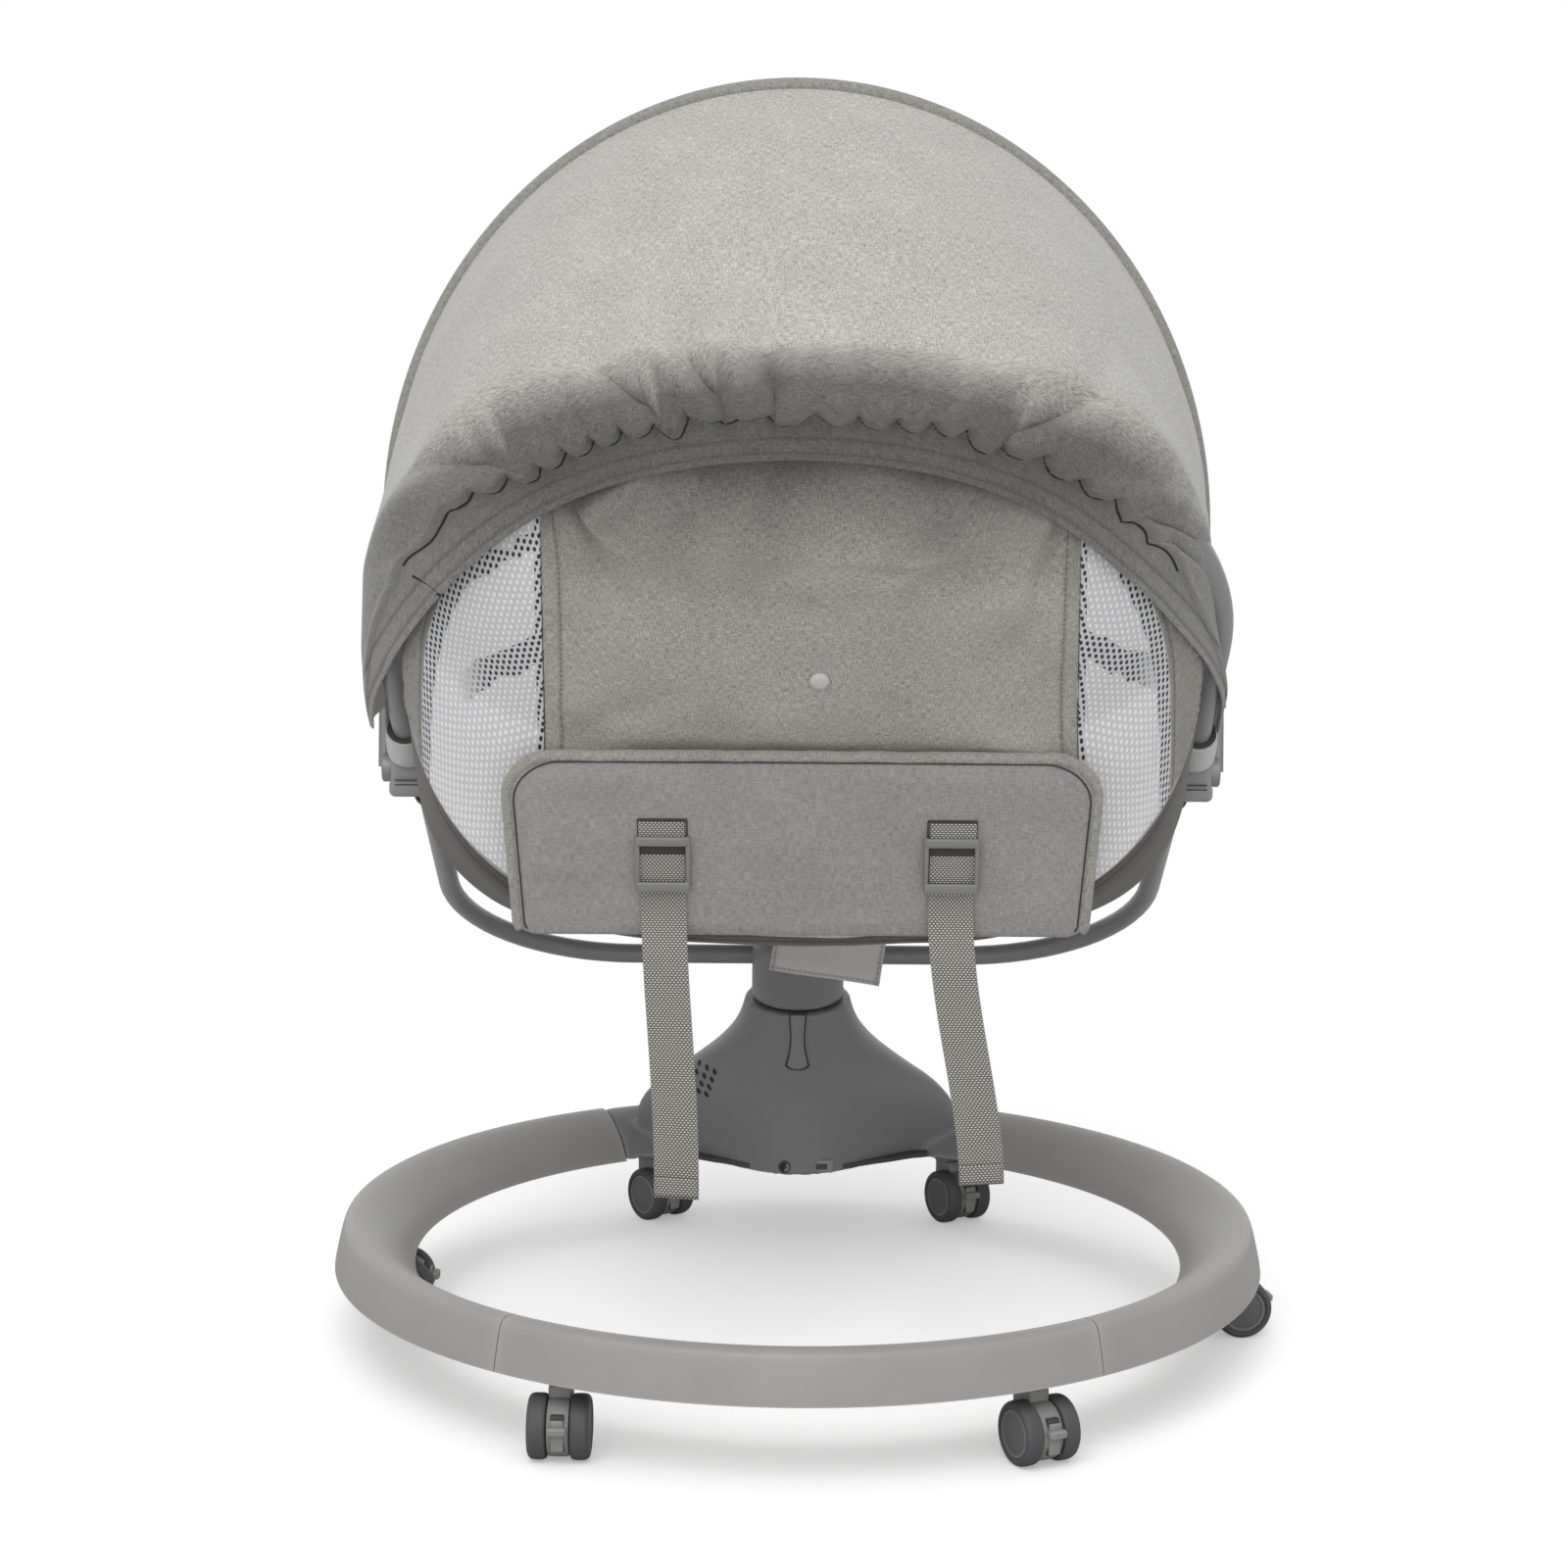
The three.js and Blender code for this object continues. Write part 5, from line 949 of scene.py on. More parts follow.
net_thick, net_slack, trim_radius, net_band = 0.0028, 0.0016, 0.0013, 0.158
mesh_top = floor_share(-head_reach * 0.925)
net_trim = finished("net_trim", (196, 196, 198), 0.8, 1800.0, 0.0, bump=0.6)
for side, label in ((-1, "left"), (1, "right")):
    net_points, u, v = panel(mesh_top, flap_foot, lambda s: side * net_lean(s, side),
                             lambda s: side * (wing_lean(s, side) - 0.004), 40, 110)
    if side < 0:
        net_points, u = net_points[::-1], u[::-1]
    slack = swirl(net_points, 0.05, 5.0 + side) * net_slack * np.sin(pi * u)
    net_points = net_points + skin_way(net_points) * slack[..., None]
    net_cloth = spacer_net("spacer_net_" + label, 0 if side < 0 else 1, net_band)
    sewn("side_net_" + label, net_points, net_thick, net_cloth, "seat", ["side_mesh_" + label])
    made_piece("net_binding_" + label, swept(net_points[0 if side < 0 else -1], trim_radius, 10), net_trim,
               "seat")


# Wings: linen gussets at each side of the nets, gathered in fine pleats that fan out from the side box.
# They are sewn over the rim loop.
def right_rim(share):
    return np.full_like(share, rim_lean)


pleat_count, pleat_deep, pleat_fan, wing_slack = 13, 0.0018, 0.10, 0.0005
for side, label in ((-1, "left"), (1, "right")):
    wing_points, u, v = panel(mesh_top, flap_foot, lambda s: side * wing_lean(s, side),
                              lambda s: side * right_rim(s), 46, 150)
    if side < 0:
        wing_points, u = wing_points[::-1], u[::-1]
    outward = u if side > 0 else 1 - u
    ridge = 1 - np.abs(np.sin(pi * (v - pleat_fan * (1 - outward)) * pleat_count))
    pleat = ridge ** 4 * pleat_deep + swirl(wing_points, 0.02, 2.0 + side) * wing_slack
    pleat *= eased((v - 0.25) / 0.2) * np.sin(pi * np.clip(outward, 0.08, 0.95))
    wing_points = wing_points - skin_way(wing_points) * pleat[..., None]
    wing_linen = cloth("wing_linen_" + label, (112, 110, 105), (180, 178, 171),
                       stitches=((1 if side < 0 else 0, 0.004),))
    sewn("pleated_wing_" + label, wing_points, linen_thick, wing_linen, "seat",
         ["side_wing_" + label])


# Sling: the brown lining that carries the seat, from below the flap to the foot loop, in two sewn lengths
# with a tape over their seam. Its rear edge is bound with a thin pale tape that ripples a little.
def left_rim(share):
    return np.full_like(share, -rim_lean)


seam_share, seam_gap, edge_gap, foot_end = floor_share(head_reach * 0.2), 0.0003, 0.0009, 0.985
lining_thick, sling_slack, edge_radius = 0.0024, 0.0016, 0.0014
tape_thick, tape_share, tape_apart = 0.0012, 0.011, 0.0024
lining = cloth("lining", (66, 61, 60), (102, 96, 94), pitch=0.0008, slub=0.4,
               stitches=((2, 0.006), (3, 0.006)))
for name, stands_for, first, last in (("brown_sling", "seat_sling", flap_foot + edge_gap,
                                       seam_share + seam_gap),
                                      ("foot_lining", "foot_sling", seam_share - seam_gap, foot_end)):
    sling_points, u, v = panel(first, last, left_rim, right_rim, 90, 60)
    slack = eased(np.minimum(u, 1 - u) / 0.1) * eased(np.minimum(v, 1 - v) / 0.08)
    slack *= swirl(sling_points, 0.06, 11.0) * sling_slack
    sling_points = sling_points + skin_way(sling_points) * slack[..., None]
    sewn(name, sling_points, lining_thick, lining, "seat", [stands_for])
    if name == "brown_sling":
        edge_tape = finished("edge_tape", (168, 165, 160), 0.85, 1500.0, 0.0, bump=0.6)
        made_piece("edge_tape", swept(sling_points[4:-4, 0], edge_radius, 10), edge_tape, "seat")
tape_points = panel(seam_share - tape_share, seam_share + tape_share, left_rim, right_rim, 90, 6)[0]
way = skin_way(tape_points)
way *= np.sign(way[45, 3, 2])
for label, apart in (("outer", -tape_apart), ("inner", tape_apart)):
    sewn("seam_tape_" + label, tape_points + way * apart, tape_thick, lining, "seat", [])


# Rear board: a foam-backed panel in heathered cloth, hinged along its low edge. A rolled edge in the seat's
# linen runs up both sides and over the top, and two bound slits let the straps through.
board_low, board_top = Vector((0, -0.1393, 0.257)), Vector((0, -0.1793, 0.366))
board_tilt, board_tall = atan2(0.04, 0.109), (board_top - board_low).length
board_place = Matrix.Translation(board_low) @ Matrix.Rotation(board_tilt, 4, "X")
half_low, half_top, top_corner, low_corner = 0.16, 0.165, 0.03, 0.007
foam_half, foam_middle, foam_round, foam_inset = 0.0029, 0.0036, 0.0035, 0.0035
roll_radius, seam_radius, roll_inset = 0.0033, 0.0005, 0.0034


def board_half(rise, inset=0.0):
    """The board's half width at heights above its low edge, its corners rounded."""
    half = half_low + (half_top - half_low) * rise / board_tall
    high = np.clip((rise - (board_tall - top_corner)) / (top_corner - inset), 0, 0.997)
    low = np.clip((low_corner - rise) / (low_corner - inset * 0.5), 0, 0.997)
    return half - inset - top_corner * (1 - np.sqrt(1 - high ** 2)) - low_corner * (1 - np.sqrt(1 - low ** 2))


def placed(points, matrix):
    """A table of points moved by a matrix."""
    turn, shift = np.array(matrix.to_3x3()), np.array(matrix.translation)
    return points @ turn.T + shift


def flat_swirl(x, z, wide, tall, seed):
    """Soft noise over a flat table of places, with swells of the given width and height in metres."""
    found = [noise.noise(Vector((a / wide, b / tall, seed))) for a, b in zip(x.ravel(), z.ravel())]
    return np.array(found).reshape(x.shape)


foam_tall, foam_low = board_tall * 0.972, 0.0006
rows = []
for rise in foam_tall * (0.5 - 0.5 * np.cos(np.linspace(0, pi, 60))) + foam_low:
    half = float(board_half(rise, foam_inset))
    rounding = max(1 - min(rise, foam_tall + 2 * foam_low - rise) / foam_round, 0)
    thick = foam_half * sqrt(max(1 - rounding ** 2, 0.02))
    lap = np.linspace(-1, 1, 97) * (half - thick)
    caps = np.linspace(-pi / 2, pi / 2, 9)[1:-1]
    x = np.concatenate([lap, half - thick + thick * np.cos(caps), lap[::-1],
                        -half + thick - thick * np.cos(caps), lap[:1]])
    y = np.concatenate([lap * 0 - thick, thick * np.sin(caps), lap * 0 + thick, -thick * np.sin(caps),
                        [-thick]])
    rows.append(np.stack([x, y + foam_middle, np.full_like(x, rise)], axis=-1))
board_points = np.stack(rows, axis=1)
x, y, z = board_points[..., 0], board_points[..., 1], board_points[..., 2]
crease_rise, wave_rise, crown, pull_deep = 0.0007, 0.0016, 0.0010, 0.0012
creases, waves = flat_swirl(x, z, 0.075, 0.0095, 4.0), flat_swirl(x, z, 0.11, 0.04, 9.0)
low_part = eased((0.075 - z) / 0.05)
inner_part = eased((board_half(z, 0.004) - np.abs(x)) / 0.02) * eased((board_tall - 0.004 - z) / 0.012)
inner_part = inner_part * eased(z / 0.01)
pulls = sum(np.exp(-((x - spot) / 0.028) ** 2 - ((z - 0.052) / 0.022) ** 2) for spot in (-0.076, 0.082))
relief = crease_rise * creases * (low_part + 0.25) + wave_rise * waves + crown - pull_deep * pulls
board_points[..., 1] -= np.where(y < foam_middle, inner_part * relief, 0)
panel_cloth = cloth("heather_panel", (132, 127, 127), (186, 180, 180), pitch=0.00062, slub=0.45, sheen=0.2,
                    bump=0.3, own_uv=False)
board_cover = made_piece("rear_board_cover", grid_form(placed(board_points, board_place), closed=True),
                         panel_cloth, "board", ["back_board"], sharp=180)
bend_from = board_tall - 0.031
outline_rise = np.concatenate([np.linspace(0.004, bend_from, 26),
                               bend_from + 0.0272 * np.sin(np.linspace(0.04, 1, 16) * pi / 2)])
side_x = board_half(outline_rise, roll_inset)
edge_line = [(x, 0.0030, z) for x, z in zip(side_x, outline_rise)]
top_x = np.linspace(side_x[-1], -side_x[-1], 30)[1:-1]
edge_line += ([(x, 0.0030, outline_rise[-1] + 0.0004 * cos(x * 10)) for x in top_x]
              + [(-x, y, z) for x, y, z in edge_line[::-1]])
edge_line = curved(edge_line, 2)
roll_points = [board_place @ Vector((p.x, p.y + 0.0004 * noise.noise(p * 90),
                                     p.z + 0.0005 * noise.noise(p * 60 + Vector((3, 1, 2)))))
               for p in edge_line]
linen = cloth("seat_linen", (122, 120, 114), (188, 186, 178), own_uv=False)
made_piece("rolled_edge", swept(roll_points, roll_radius, 18), linen, "board", sharp=180)
# The dark line where the rolled edge meets the cover is painted shadow.
seam_points = [board_place @ Vector((p.x * 0.9765, 0.0003, p.z * 0.968 + 0.0012)) for p in edge_line]
painted_shadow = finished("seam_shadow", (70, 67, 65), 0.9, 1500.0, 0.0)
made_piece("board_seam_shadow", swept(seam_points, seam_radius, 8), painted_shadow, "board", sharp=180)


# Straps: two lengths of grey webbing that come out of slits in the board, pass under a ladder buckle and
# hang free. The webbing is a basket weave of thick bright threads; the buckles are moulded plastic.
weave_wide, weave_tall = 0.0021, 0.00135
webbing_group, given, out = new_group("basket_webbing", [
    ("Dark", "Color", paint(74, 73, 69)), ("Bright", "Color", paint(232, 230, 221)),
    ("Thread Place", "Vector", None)])
thread_x, thread_y, _ = parts_of(given["Thread Place"])
row = thread_y / weave_tall
column = thread_x / weave_wide + row.step("FLOOR").step("MODULO", 2.0) * 0.5
across_in, along_in = (column + 100.0).step("FRACT") - 0.5, (row + 100.0).step("FRACT") - 0.5
lump = ramp((across_in * across_in + along_in * along_in).step("SQRT"), 0.5, 0.12)
feed(out["Colour"], mixed(lump, given["Dark"], given["Bright"]))
feed(out["Roughness"], ramp(lump, 0.0, 1.0, 0.9, 0.7))
feed(out["Height"], lump)
webbing, tree, shader = new_material("woven_webbing")
skin = place_group(tree, webbing_group, {"Thread Place": read(tree, "TexCoord", "UV")})
dress(shader, skin["Colour"], skin["Roughness"], skin["Height"], 0.5, 0.0006)
feed(shader["Sheen Weight"], 0.15)
buckle_plastic = finished("buckle_plastic", (124, 124, 121), 0.4, 1200.0)

strap_slit, strap_wide, strap_thick, end_thick = board_tall * 0.642, 0.025, 0.0014, 0.0011
straps_middle, straps_apart, strap_wave, strap_turn = 0.003, 0.079, 0.0005, 0.10
buckle_tall, buckle_wide, buckle_bar, bar_front = 0.033, 0.03, 0.0024, -0.0034
buckle_middle = strap_slit - 0.0088 - buckle_tall / 2
strap_bend = buckle_middle - buckle_tall * 0.7
for side, label, strap_long, lean in ((-1, "left", 0.219, 0.008), (1, "right", 0.21, 0.02)):
    middle_x = straps_middle + side * straps_apart
    along = np.linspace(0, 1, 121)
    flat_run = np.minimum(along * strap_long, strap_slit - strap_bend)
    below = along * strap_long - flat_run
    swing = board_tilt * eased(below / 0.035)
    ripple = strap_wave * np.sin(along * strap_long / 0.011) * eased((0.25 - along) / 0.1)
    strap_y = -0.0011 - below * np.sin(swing) - ripple * 0.5
    strap_z = strap_slit - flat_run - below * np.cos(swing)
    strap_x = middle_x + lean * eased((along - 0.25) / 0.75) + 0.0007 * np.sin(along * 5 + side)
    twist = strap_turn * side * eased((along - 0.4) / 0.6)
    across = np.linspace(-0.5, 0.5, 11)[:, None] * strap_wide
    strap_points = np.stack([strap_x + across * np.cos(twist), strap_y + across * np.sin(twist),
                             strap_z + across * 0], axis=-1)
    sewn("webbing_strap_" + label, placed(strap_points, board_place), strap_thick, webbing, "board",
         ["strap_" + label])
    # The slit's mouth and its two sides are dark strips of painted shade.
    slit = [rounded_block((0.0272, 0.0016, 0.0012), (middle_x, -0.0002, strap_slit + 0.0004), 0.0004, 2)]
    slit += [rounded_block((0.0007, 0.0014, 0.011), (middle_x + edge * 0.0134, 0.0, strap_slit - 0.0052),
                           0.0003, 2)
             for edge in (-1, 1)]
    made_piece("strap_slit_shadow_" + label, joined(slit, board_place), painted_shadow, "board")
    frame_parts = [rounded_block((buckle_bar, 0.0042, buckle_tall - 0.001),
                                 (middle_x + edge * (buckle_wide - buckle_bar) / 2, -0.0023, buckle_middle),
                                 0.0009, 3)
                   for edge in (-1, 1)]
    frame_parts += [rounded_block((buckle_wide - 0.0008, buckle_bar, tall),
                                  (middle_x, bar_front - out_by, buckle_middle + share * buckle_tall),
                                  0.001, 3)
                    for share, tall, out_by in ((0.42, 0.0056, 0.0002), (-0.44, 0.0062, 0.0008))]
    made_piece("ladder_buckle_" + label, joined(frame_parts, board_place), buckle_plastic, "board",
               ["buckle_" + label])
    # A dark strip of painted shadow under the buckle's top bar, where the webbing passes beneath.
    gap = rounded_block((0.0246, 0.0007, 0.0052), (middle_x, -0.0021, buckle_middle + 0.235 * buckle_tall),
                        0.0003, 2)
    made_piece("buckle_gap_shadow_" + label, joined([gap], board_place), painted_shadow, "board")
    end_rows = strap_points[:, -8:-1].copy()
    end_rows[..., 1] -= 0.0013
    end_fold = made_piece("strap_end_" + label, grid_form(placed(end_rows, board_place), threads=True),
                          webbing, "board", sharp=180)
    end_fold.modifiers.new("thickness", "SOLIDIFY").thickness = end_thick


# Canopy: one sheet of linen over a bent alloy bow, folded over the head of the rim, gathered on its hem seam
# and finished with a stitched band. A thin dark tube of painted shadow lies under the gather, and a dark line
# of painted shade runs down the hem's slit. Its ends are caught behind the side boxes.
bow_half, bow_leg, bow_rise, bow_lean, bow_share = 0.244, 0.145, 0.256, radians(8.5), 0.93
rim_track = spaced([head_point(*pair) for pair in loop_line(rim_half, 0.012, head_straight, head_long, 120)])
bow_track = spaced([(x, reach * sin(bow_lean) + ring_middle.y, box_height + reach * cos(bow_lean))
                    for x, reach in loop_line(bow_half, 0.0, bow_leg, bow_leg + bow_rise, 120)])
square = np.array((0, sin(head_angle), cos(head_angle)))


def beside_rim(around, out_by, up_by):
    """A point beside the head rim: out lies in the rim's plane, up is square to it."""
    share = 0.5 + (around - 0.5) * bow_share
    along = on_line(rim_track, share + 0.002) - on_line(rim_track, share - 0.002)
    outward = np.cross(square, along)
    outward /= np.linalg.norm(outward, axis=-1)[..., None]
    return (on_line(rim_track, share) + outward * np.asarray(out_by)[..., None]
            + square * np.asarray(up_by)[..., None])


def eased_table(millimetres, share):
    """A table's length, in metres, at shares from its first to its last entry, eased between entries."""
    fine = np.interp(np.linspace(0, len(millimetres) - 1, 161), np.arange(len(millimetres)), millimetres)
    soft = np.convolve(np.pad(fine, 12, mode="edge"), np.hanning(27)[1:-1] / 13, mode="valid")
    return np.interp(share * 160, np.arange(161), soft) / 1000


hem_out = [14, 8, -6, -15, -20, -22, -22, -22, -23, -24, -24]
hem_up = [0, -8, -16, -24, -28, -29, -27, -25, -24, -24, -24]
hem_right = [2, 5, 9, 9, 7, 4, 2, 0, 0, 0, 0]
bulge_out = [16, 15, 14, 14, 11, 7, 4, 3, 3, 2, 2]
bulge_up = [2, -8, -14, -15, -16, -16, -15, -14, -13, -12, -12]
fold_out = [14.5, 13.5, 9.5, 11, 18.5, 24, 32, 34, 28, 26, 25]
fold_up = [2, 2, 2, 2, 2, 8, 14, 16, 11, 10, 7]
around_count, dome_rows, hem_rows = 430, 26, 56
fold_count, fold_deep, crease_deep, sleeve_gap, dome_swell = 13, 0.0066, 0.05, 0.0055, 0.006
pucker_count, puff_low, puff_more, roll_rise, tuck_deep, band_rise = 46, 0.0024, 0.0026, 0.0018, 0.0036, 0.0008
line_count, line_rise, dome_slack, fine_slack = 104, 0.0006, 0.0022, 0.0004
canopy_thick, canopy_narrow, canopy_left, flank_left = 0.0012, 0.026, 0.0035, 0.0045
u, row = np.meshgrid(np.linspace(0, 1, around_count + 1), np.arange(dome_rows + hem_rows + 1), indexing="ij")
over = np.clip(row / dome_rows, 0, 1)
under = np.clip((row - dome_rows) / hem_rows, 0, 1)
edge_share = 1 - np.abs(u - 0.5) * 2
full = eased(edge_share / 0.3)
wander = np.array([noise.noise(Vector((a * 7.0, 0.4, 2.2))) for a in u[:, 0]])[:, None]
down = np.where(row > dome_rows, under, -(1 - over) * 0.9)
fanned = 0.5 + (u - 0.5) / (1 + 0.7 * np.clip(0.6 - down, 0, 1.1))
ridge = fanned * fold_count + 0.55 * np.sin(fanned * 21 + 1) + 0.3 * np.sin(fanned * 47)
ridge = 1 - np.abs(np.sin(pi * ridge)) ** 0.8
folds = (0.85 - ridge) * (1.0 + 0.5 * np.sin(fanned * 33 + 2)) * eased((edge_share - 0.34) / 0.2)
fold_line = beside_rim(u, eased_table(fold_out, edge_share), eased_table(fold_up, edge_share))
bow_line = on_line(bow_track, 0.5 + (u - 0.5) * bow_share)
way = fold_line - bow_line
way /= np.linalg.norm(way, axis=-1)[..., None]
start = bow_line + way * sleeve_gap
rise_way = np.array((0, -sin(head_angle) * 0.5, 1.0))
rise_way /= np.linalg.norm(rise_way)
fold_lift = (folds - 0.3) * fold_deep
swell = np.sin(pi * over) * dome_swell * full + fold_lift * eased((over - 0.66) / 0.34)
dome = start + (fold_line - start) * over[..., None] + rise_way * swell[..., None]
right_out = eased_table(hem_right, edge_share) * (u < 0.5)
hem_line = beside_rim(u, eased_table(hem_out, edge_share) + right_out, eased_table(hem_up, edge_share))
bulge_line = beside_rim(u, eased_table(bulge_out, edge_share) + folds * crease_deep * (1 - under),
                        eased_table(bulge_up, edge_share))
s = under[..., None]
ruffle = ((fold_line + rise_way * fold_lift[..., None]) * (1 - s) ** 2 + bulge_line * (2 * s * (1 - s))
          + hem_line * s ** 2)
canopy_points = np.where((row > dome_rows)[..., None], ruffle, dome)
gathered = eased((edge_share - 0.5) / 0.14)
puckers = np.abs(np.sin(pi * (u * pucker_count + wander * 2.2)))
tuck_at = 0.60 + gathered * (0.085 * puckers - 0.03)
puff = bump_at(under, tuck_at - 0.10, 0.12) * (puff_low + puff_more * puckers) * gathered
puff += bump_at(under, tuck_at - 0.03, 0.03) * roll_rise * full
lines = np.sin(u * 2 * pi * line_count + wander * 9) * line_rise * gathered * bump_at(under, tuck_at, 0.16)
tuck = -tuck_deep * eased((under - tuck_at) / 0.022) * (0.35 + 0.65 * gathered) * full
band_roll = band_rise * bump_at(under, 0.97, 0.02)
way = skin_way(canopy_points)
way *= np.sign((way * (canopy_points - np.array((0, 0.05, 0.38)))).sum(axis=-1))[..., None]
slack = swirl(canopy_points, 0.10, 6.0) * dome_slack * np.sin(pi * over) * (under == 0)
slack += swirl(canopy_points, 0.035, 1.5) * fine_slack * eased((over - 0.3) / 0.6) * eased((1 - under) / 0.2)
slack += np.where(under > 0, puff + lines + tuck + band_roll, 0)
canopy_points = canopy_points + way * slack[..., None]


def drawn_in(points):
    """The canopy leans a little to the left of the seat, and is a little narrower than its feet."""
    free = eased((points[..., 2:] - box_height - 0.05) / 0.06)
    return np.concatenate([points[..., :1] * (1 - canopy_narrow * free) - canopy_left * free,
                           points[..., 1:]], axis=-1)


canopy_points = drawn_in(canopy_points)
low_flank = 1 - eased((canopy_points[..., 2] - 0.46) / 0.08)
canopy_points[..., 0] -= flank_left * low_flank * np.where(under > 0, 1, eased(over))
# Painted shade darkens the turned-under ruffle towards the hem.
canopy_linen = cloth("canopy_linen", (124, 123, 118), (220, 219, 213), stitches=((3, 0.0042), (3, 0.0128)),
                     darker=(3, 0.05, 0.072, 0.72, 0.3))
fold_shadow_radius, slit_radius, fold_shadow_ends, slit_column = 0.0011, 0.0009, 92, int(around_count * 0.79)
tuck_row = dome_rows + (tuck_at + 0.03)[:, 0] * hem_rows
row_above = np.floor(tuck_row).astype(int)
columns = np.arange(around_count + 1)
part_way = (tuck_row - row_above)[:, None]
fold_shadow_points = (canopy_points[columns, row_above] * (1 - part_way)
             + canopy_points[columns, row_above + 1] * part_way)
# A dark tube of painted shadow under the gathered fold, and a dark line of painted shade down the hem's slit.
shadow_line_paint = finished("painted_shadow_line", (46, 45, 43), 0.9, 1500.0, 0.0, bump=0.4)
made_piece("fold_shadow_line", swept(fold_shadow_points[fold_shadow_ends:-fold_shadow_ends], fold_shadow_radius, 8), shadow_line_paint, "seat")
slit_rows = canopy_points[slit_column, dome_rows + int(hem_rows * 0.74):] + way[slit_column, -1] * 0.0006
slit_rows[:, 0] += 0.0022 * np.sin(np.linspace(0, pi, len(slit_rows)))
made_piece("hem_slit_shadow", swept(slit_rows, slit_radius, 8), shadow_line_paint, "seat")
canopy = sewn("canopy_cloth", canopy_points, canopy_thick, canopy_linen, None, ["canopy_fabric"])
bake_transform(canopy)
bow_radius, sleeve_radius, pivot_x = 0.004, 0.0053, 0.2343
pivot_line = [(0, 0), (0.003, 0), (0.003, 0.005), (0.0082, 0.005), (0.0089, 0.0056), (0.0089, 0.0104),
              (0.0082, 0.011), (0.003, 0.0112), (0, 0.0112)]
bow_alloy = finished("bow_alloy", (150, 150, 152), 0.4, 1800.0, 0.1, metal=0.6)
bow_parts = [swept(drawn_in(on_line(bow_track, np.linspace(0, 1, 120))), bow_radius, 16)]
for side in (-1, 1):
    pivot_place = facing(Vector((side * pivot_x, ring_middle.y, box_height)), Vector((side, 0, 0)))
    bow_parts.append(turned(pivot_line, pivot_place, 32))
made_piece("bow_rod", joined(bow_parts), bow_alloy, "canopy", ["canopy_bow"])
sleeve_line = drawn_in(on_line(bow_track, np.linspace(0.035, 0.965, 150)))
sleeve_linen = cloth("sleeve_linen", (112, 110, 105), (176, 174, 167), own_uv=False)
made_piece("bow_sleeve", swept(sleeve_line, sleeve_radius, 16), sleeve_linen, "canopy", sharp=180)


# Tag: a blank white care tag of thin tape, stitched along three edges. It is sewn under the seat and hangs a
# little askew behind the neck.
tag_wide, tag_tall, tag_thick, tag_askew = 0.066, 0.03, 0.0005, radians(9)
tag_wave, tag_curl = 0.0022, 0.0016
tag_u, tag_v = np.meshgrid(np.linspace(-0.5, 0.5, 25), np.linspace(0.5, -0.5, 17), indexing="ij")
tag_points = np.stack([tag_u * tag_wide, tag_wave * np.sin(tag_u * 4.2) + tag_curl * np.sin(tag_v * 5 + 1),
                       tag_v * tag_tall], axis=-1)
tag_place = Matrix.Translation((0.017, ring_middle.y, 0.2262)) @ Matrix.Rotation(tag_askew, 4, "Y")
tag_cloth = cloth("tag_cloth", (206, 204, 200), (238, 236, 232), pitch=0.0004, slub=0.25,
                  stitches=((0, 0.002), (1, 0.002), (3, 0.002)))
sewn("care_tag", placed(tag_points, tag_place), tag_thick, tag_cloth, "seat", ["seat_tag"])


# Pad: a removable quilted insert, filled with wadding, that lies in the basket from head to foot.
# It can't be seen in the photograph, so its shape is a plain one in the seat's linen.
pad_half, pad_lean, pad_thick, pad_lift, quilt_rows = 0.15, radians(52), 0.006, 0.0118, 5
pad_points, u, v = panel(floor_share(-head_reach * 0.8), floor_share(foot_reach * 0.8),
                         lambda s: -lean_at(pad_half, s, pad_lean), lambda s: lean_at(pad_half, s, pad_lean),
                         56, 100)
way = skin_way(pad_points)
way *= np.sign(way[28, 50, 2])
side_soft, end_soft = (np.sqrt(np.clip(1 - (1 - np.clip(np.minimum(t, 1 - t) / edge, 0, 1)) ** 2, 0, 1))
                       for t, edge in ((u, 0.05), (v, 0.025)))
quilt = 1 - 0.35 * bump_at(np.mod(v * quilt_rows, 1), 0.5, 0.045) * (side_soft > 0.5)
half_thick = (pad_thick * side_soft * end_soft * quilt + 0.0002)[..., None]
middle_skin = pad_points + way * pad_lift
upper, lower = middle_skin + way * half_thick, middle_skin - way * half_thick * 0.95
pad_skin = np.concatenate([upper, lower[::-1], upper[:1]], axis=0)
pad_linen = cloth("pad_linen", (150, 149, 144), (208, 207, 201), own_uv=False)
pad = made_piece("quilted_pad", grid_form(pad_skin, closed=True), pad_linen, "seat", ["seat_pad"],
                 sharp=180)


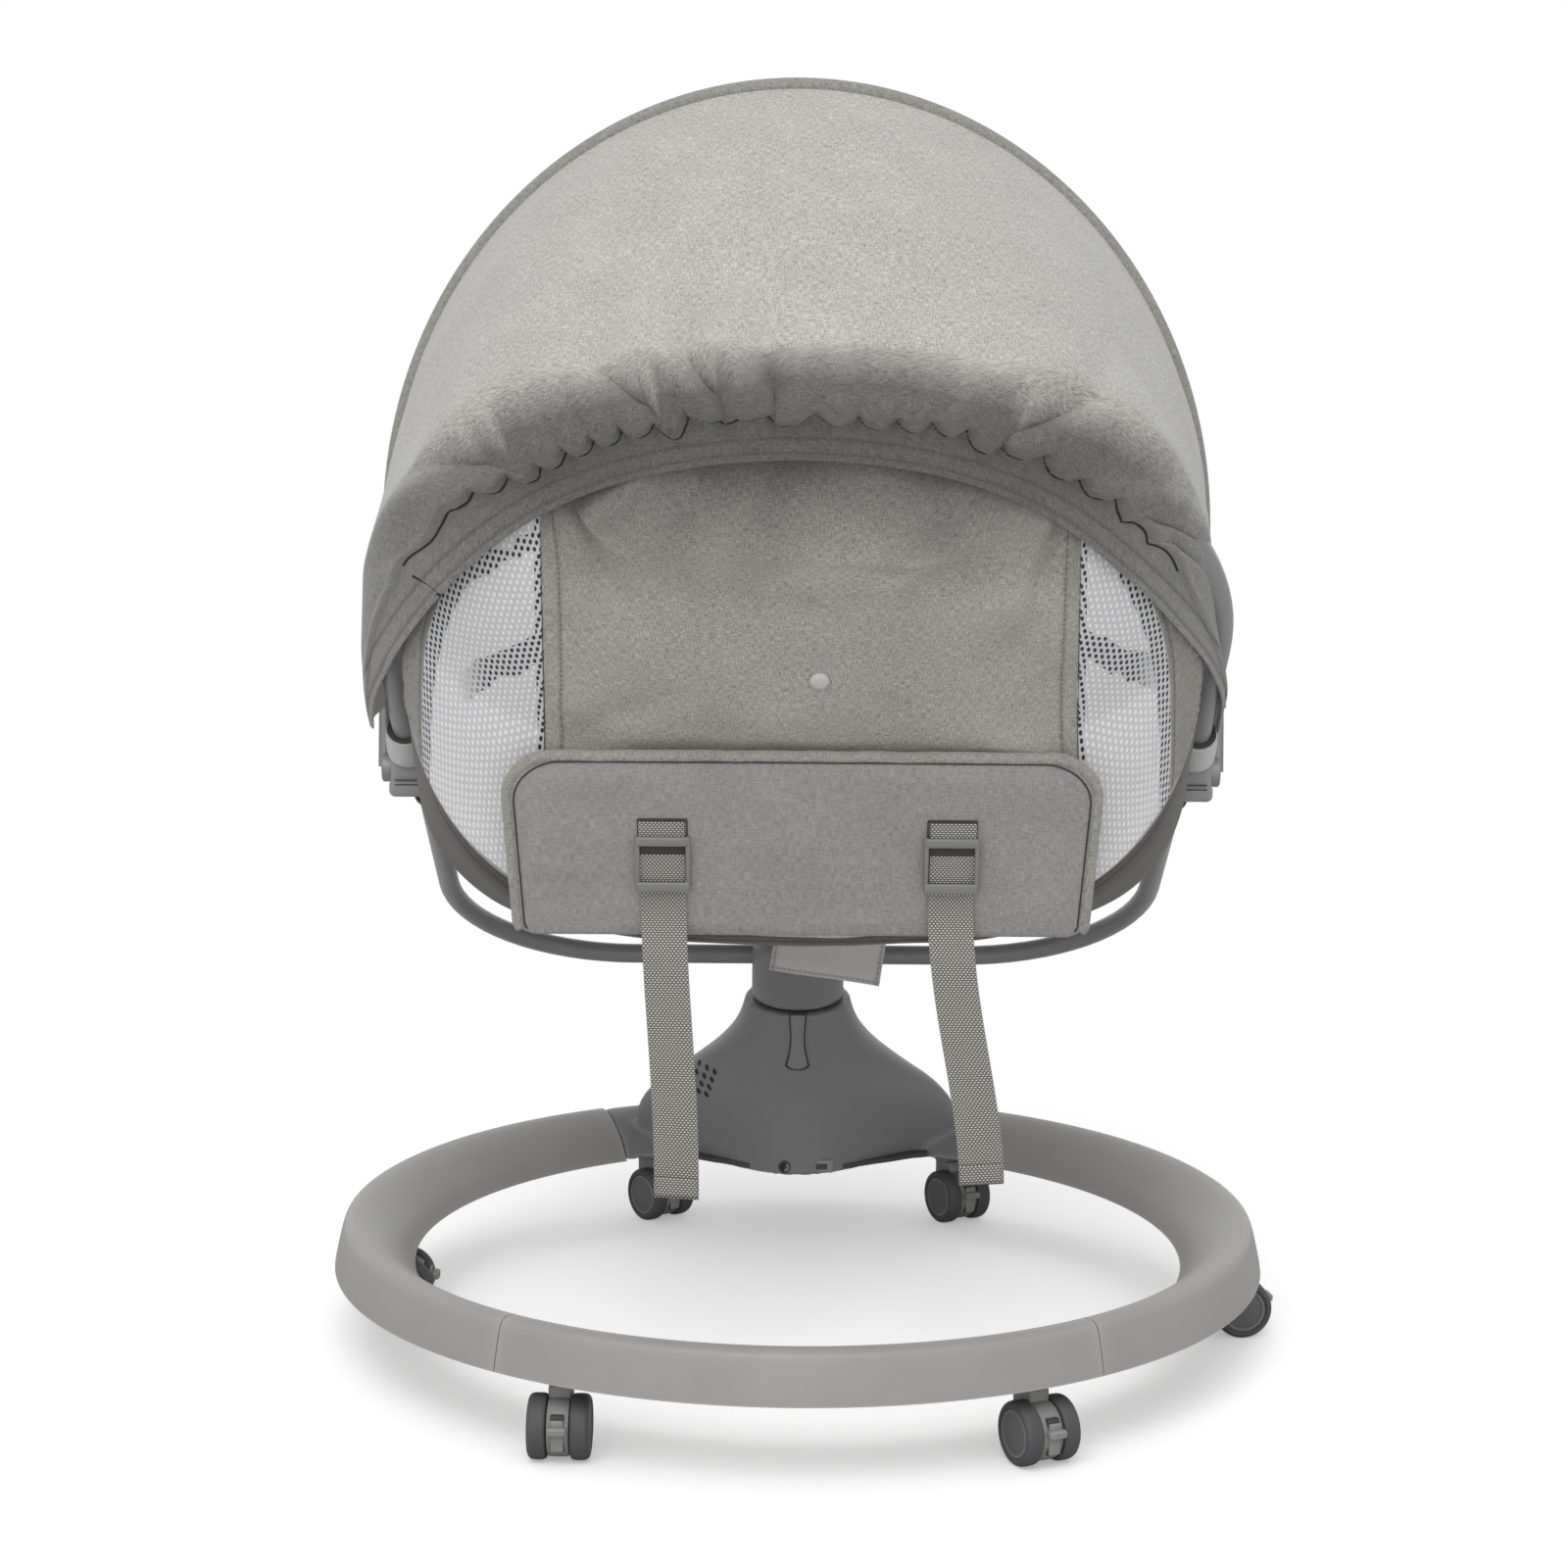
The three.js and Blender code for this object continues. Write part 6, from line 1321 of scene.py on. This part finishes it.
# Light and floor: an even, soft studio light from above and behind the camera, on a pale floor that fades
# into a plain white surround and keeps the shadow under the ring.
white = (1, 1, 1, 1)
world = bpy.data.worlds.new("studio")
scene.world = world
world.use_nodes = True
sky = world.node_tree
backdrop = sky.nodes["Background"].inputs
feed(backdrop["Color"], white)
rays = node(sky, "LightPath").outputs
seen = Reading(rays["Is Camera Ray"]).step("MAXIMUM", rays["Is Transmission Ray"])
heading = parts_of(read(sky, "TexCoord", "Generated"))
ambient = ramp(heading[0].step("ABSOLUTE"), 0.35, 0.95, 1.0, 0.4) * ramp(heading[2], 0.0, 1.0, 1.26, 0.78)
feed(backdrop["Strength"], read(sky, "Mix", 0, {0: seen, 2: ambient, 3: 1.0}))
lamp_spot, lamp_aim = Vector((-0.45, -2.1, 2.6)), Vector((0, 0, 0.35))
lamp = bpy.data.objects.new("key", bpy.data.lights.new("key", "AREA"))
lamp.data.size, lamp.data.energy = 1.8, 26
lamp.matrix_world = (Matrix.Translation(lamp_spot)
                     @ (lamp_aim - lamp_spot).to_track_quat("-Z", "Y").to_matrix().to_4x4())
scene.collection.objects.link(lamp)
floor_radius, fade_from, fade_to, lift_strength = 9, 0.32, 0.62, 0.3
floor_form = bmesh.new()
bmesh.ops.create_circle(floor_form, cap_ends=True, segments=96, radius=floor_radius)
floor_paint, tree, _ = new_material("studio_floor")
from_middle = read(tree, "VectorMath", "Value", {0: read(tree, "TexCoord", "Object")}, operation="LENGTH")
in_camera = read(tree, "LightPath", "Is Camera Ray")
paper = read(tree, "BsdfDiffuse", 0, {"Color": mixed(in_camera, paint(205, 205, 205), paint(250, 250, 250))})
lift = read(tree, "Emission", 0, {"Color": white, "Strength": in_camera * lift_strength})
glow = read(tree, "Emission", 0, {"Color": white, "Strength": 1.0})
far = ramp(from_middle, fade_from, fade_to) * in_camera
fade = read(tree, "MixShader", 0, {0: far, 1: read(tree, "AddShader", 0, {0: paper, 1: lift}), 2: glow})
feed(tree.nodes["Material Output"].inputs["Surface"], fade)
made_piece("studio_floor", floor_form, floor_paint)
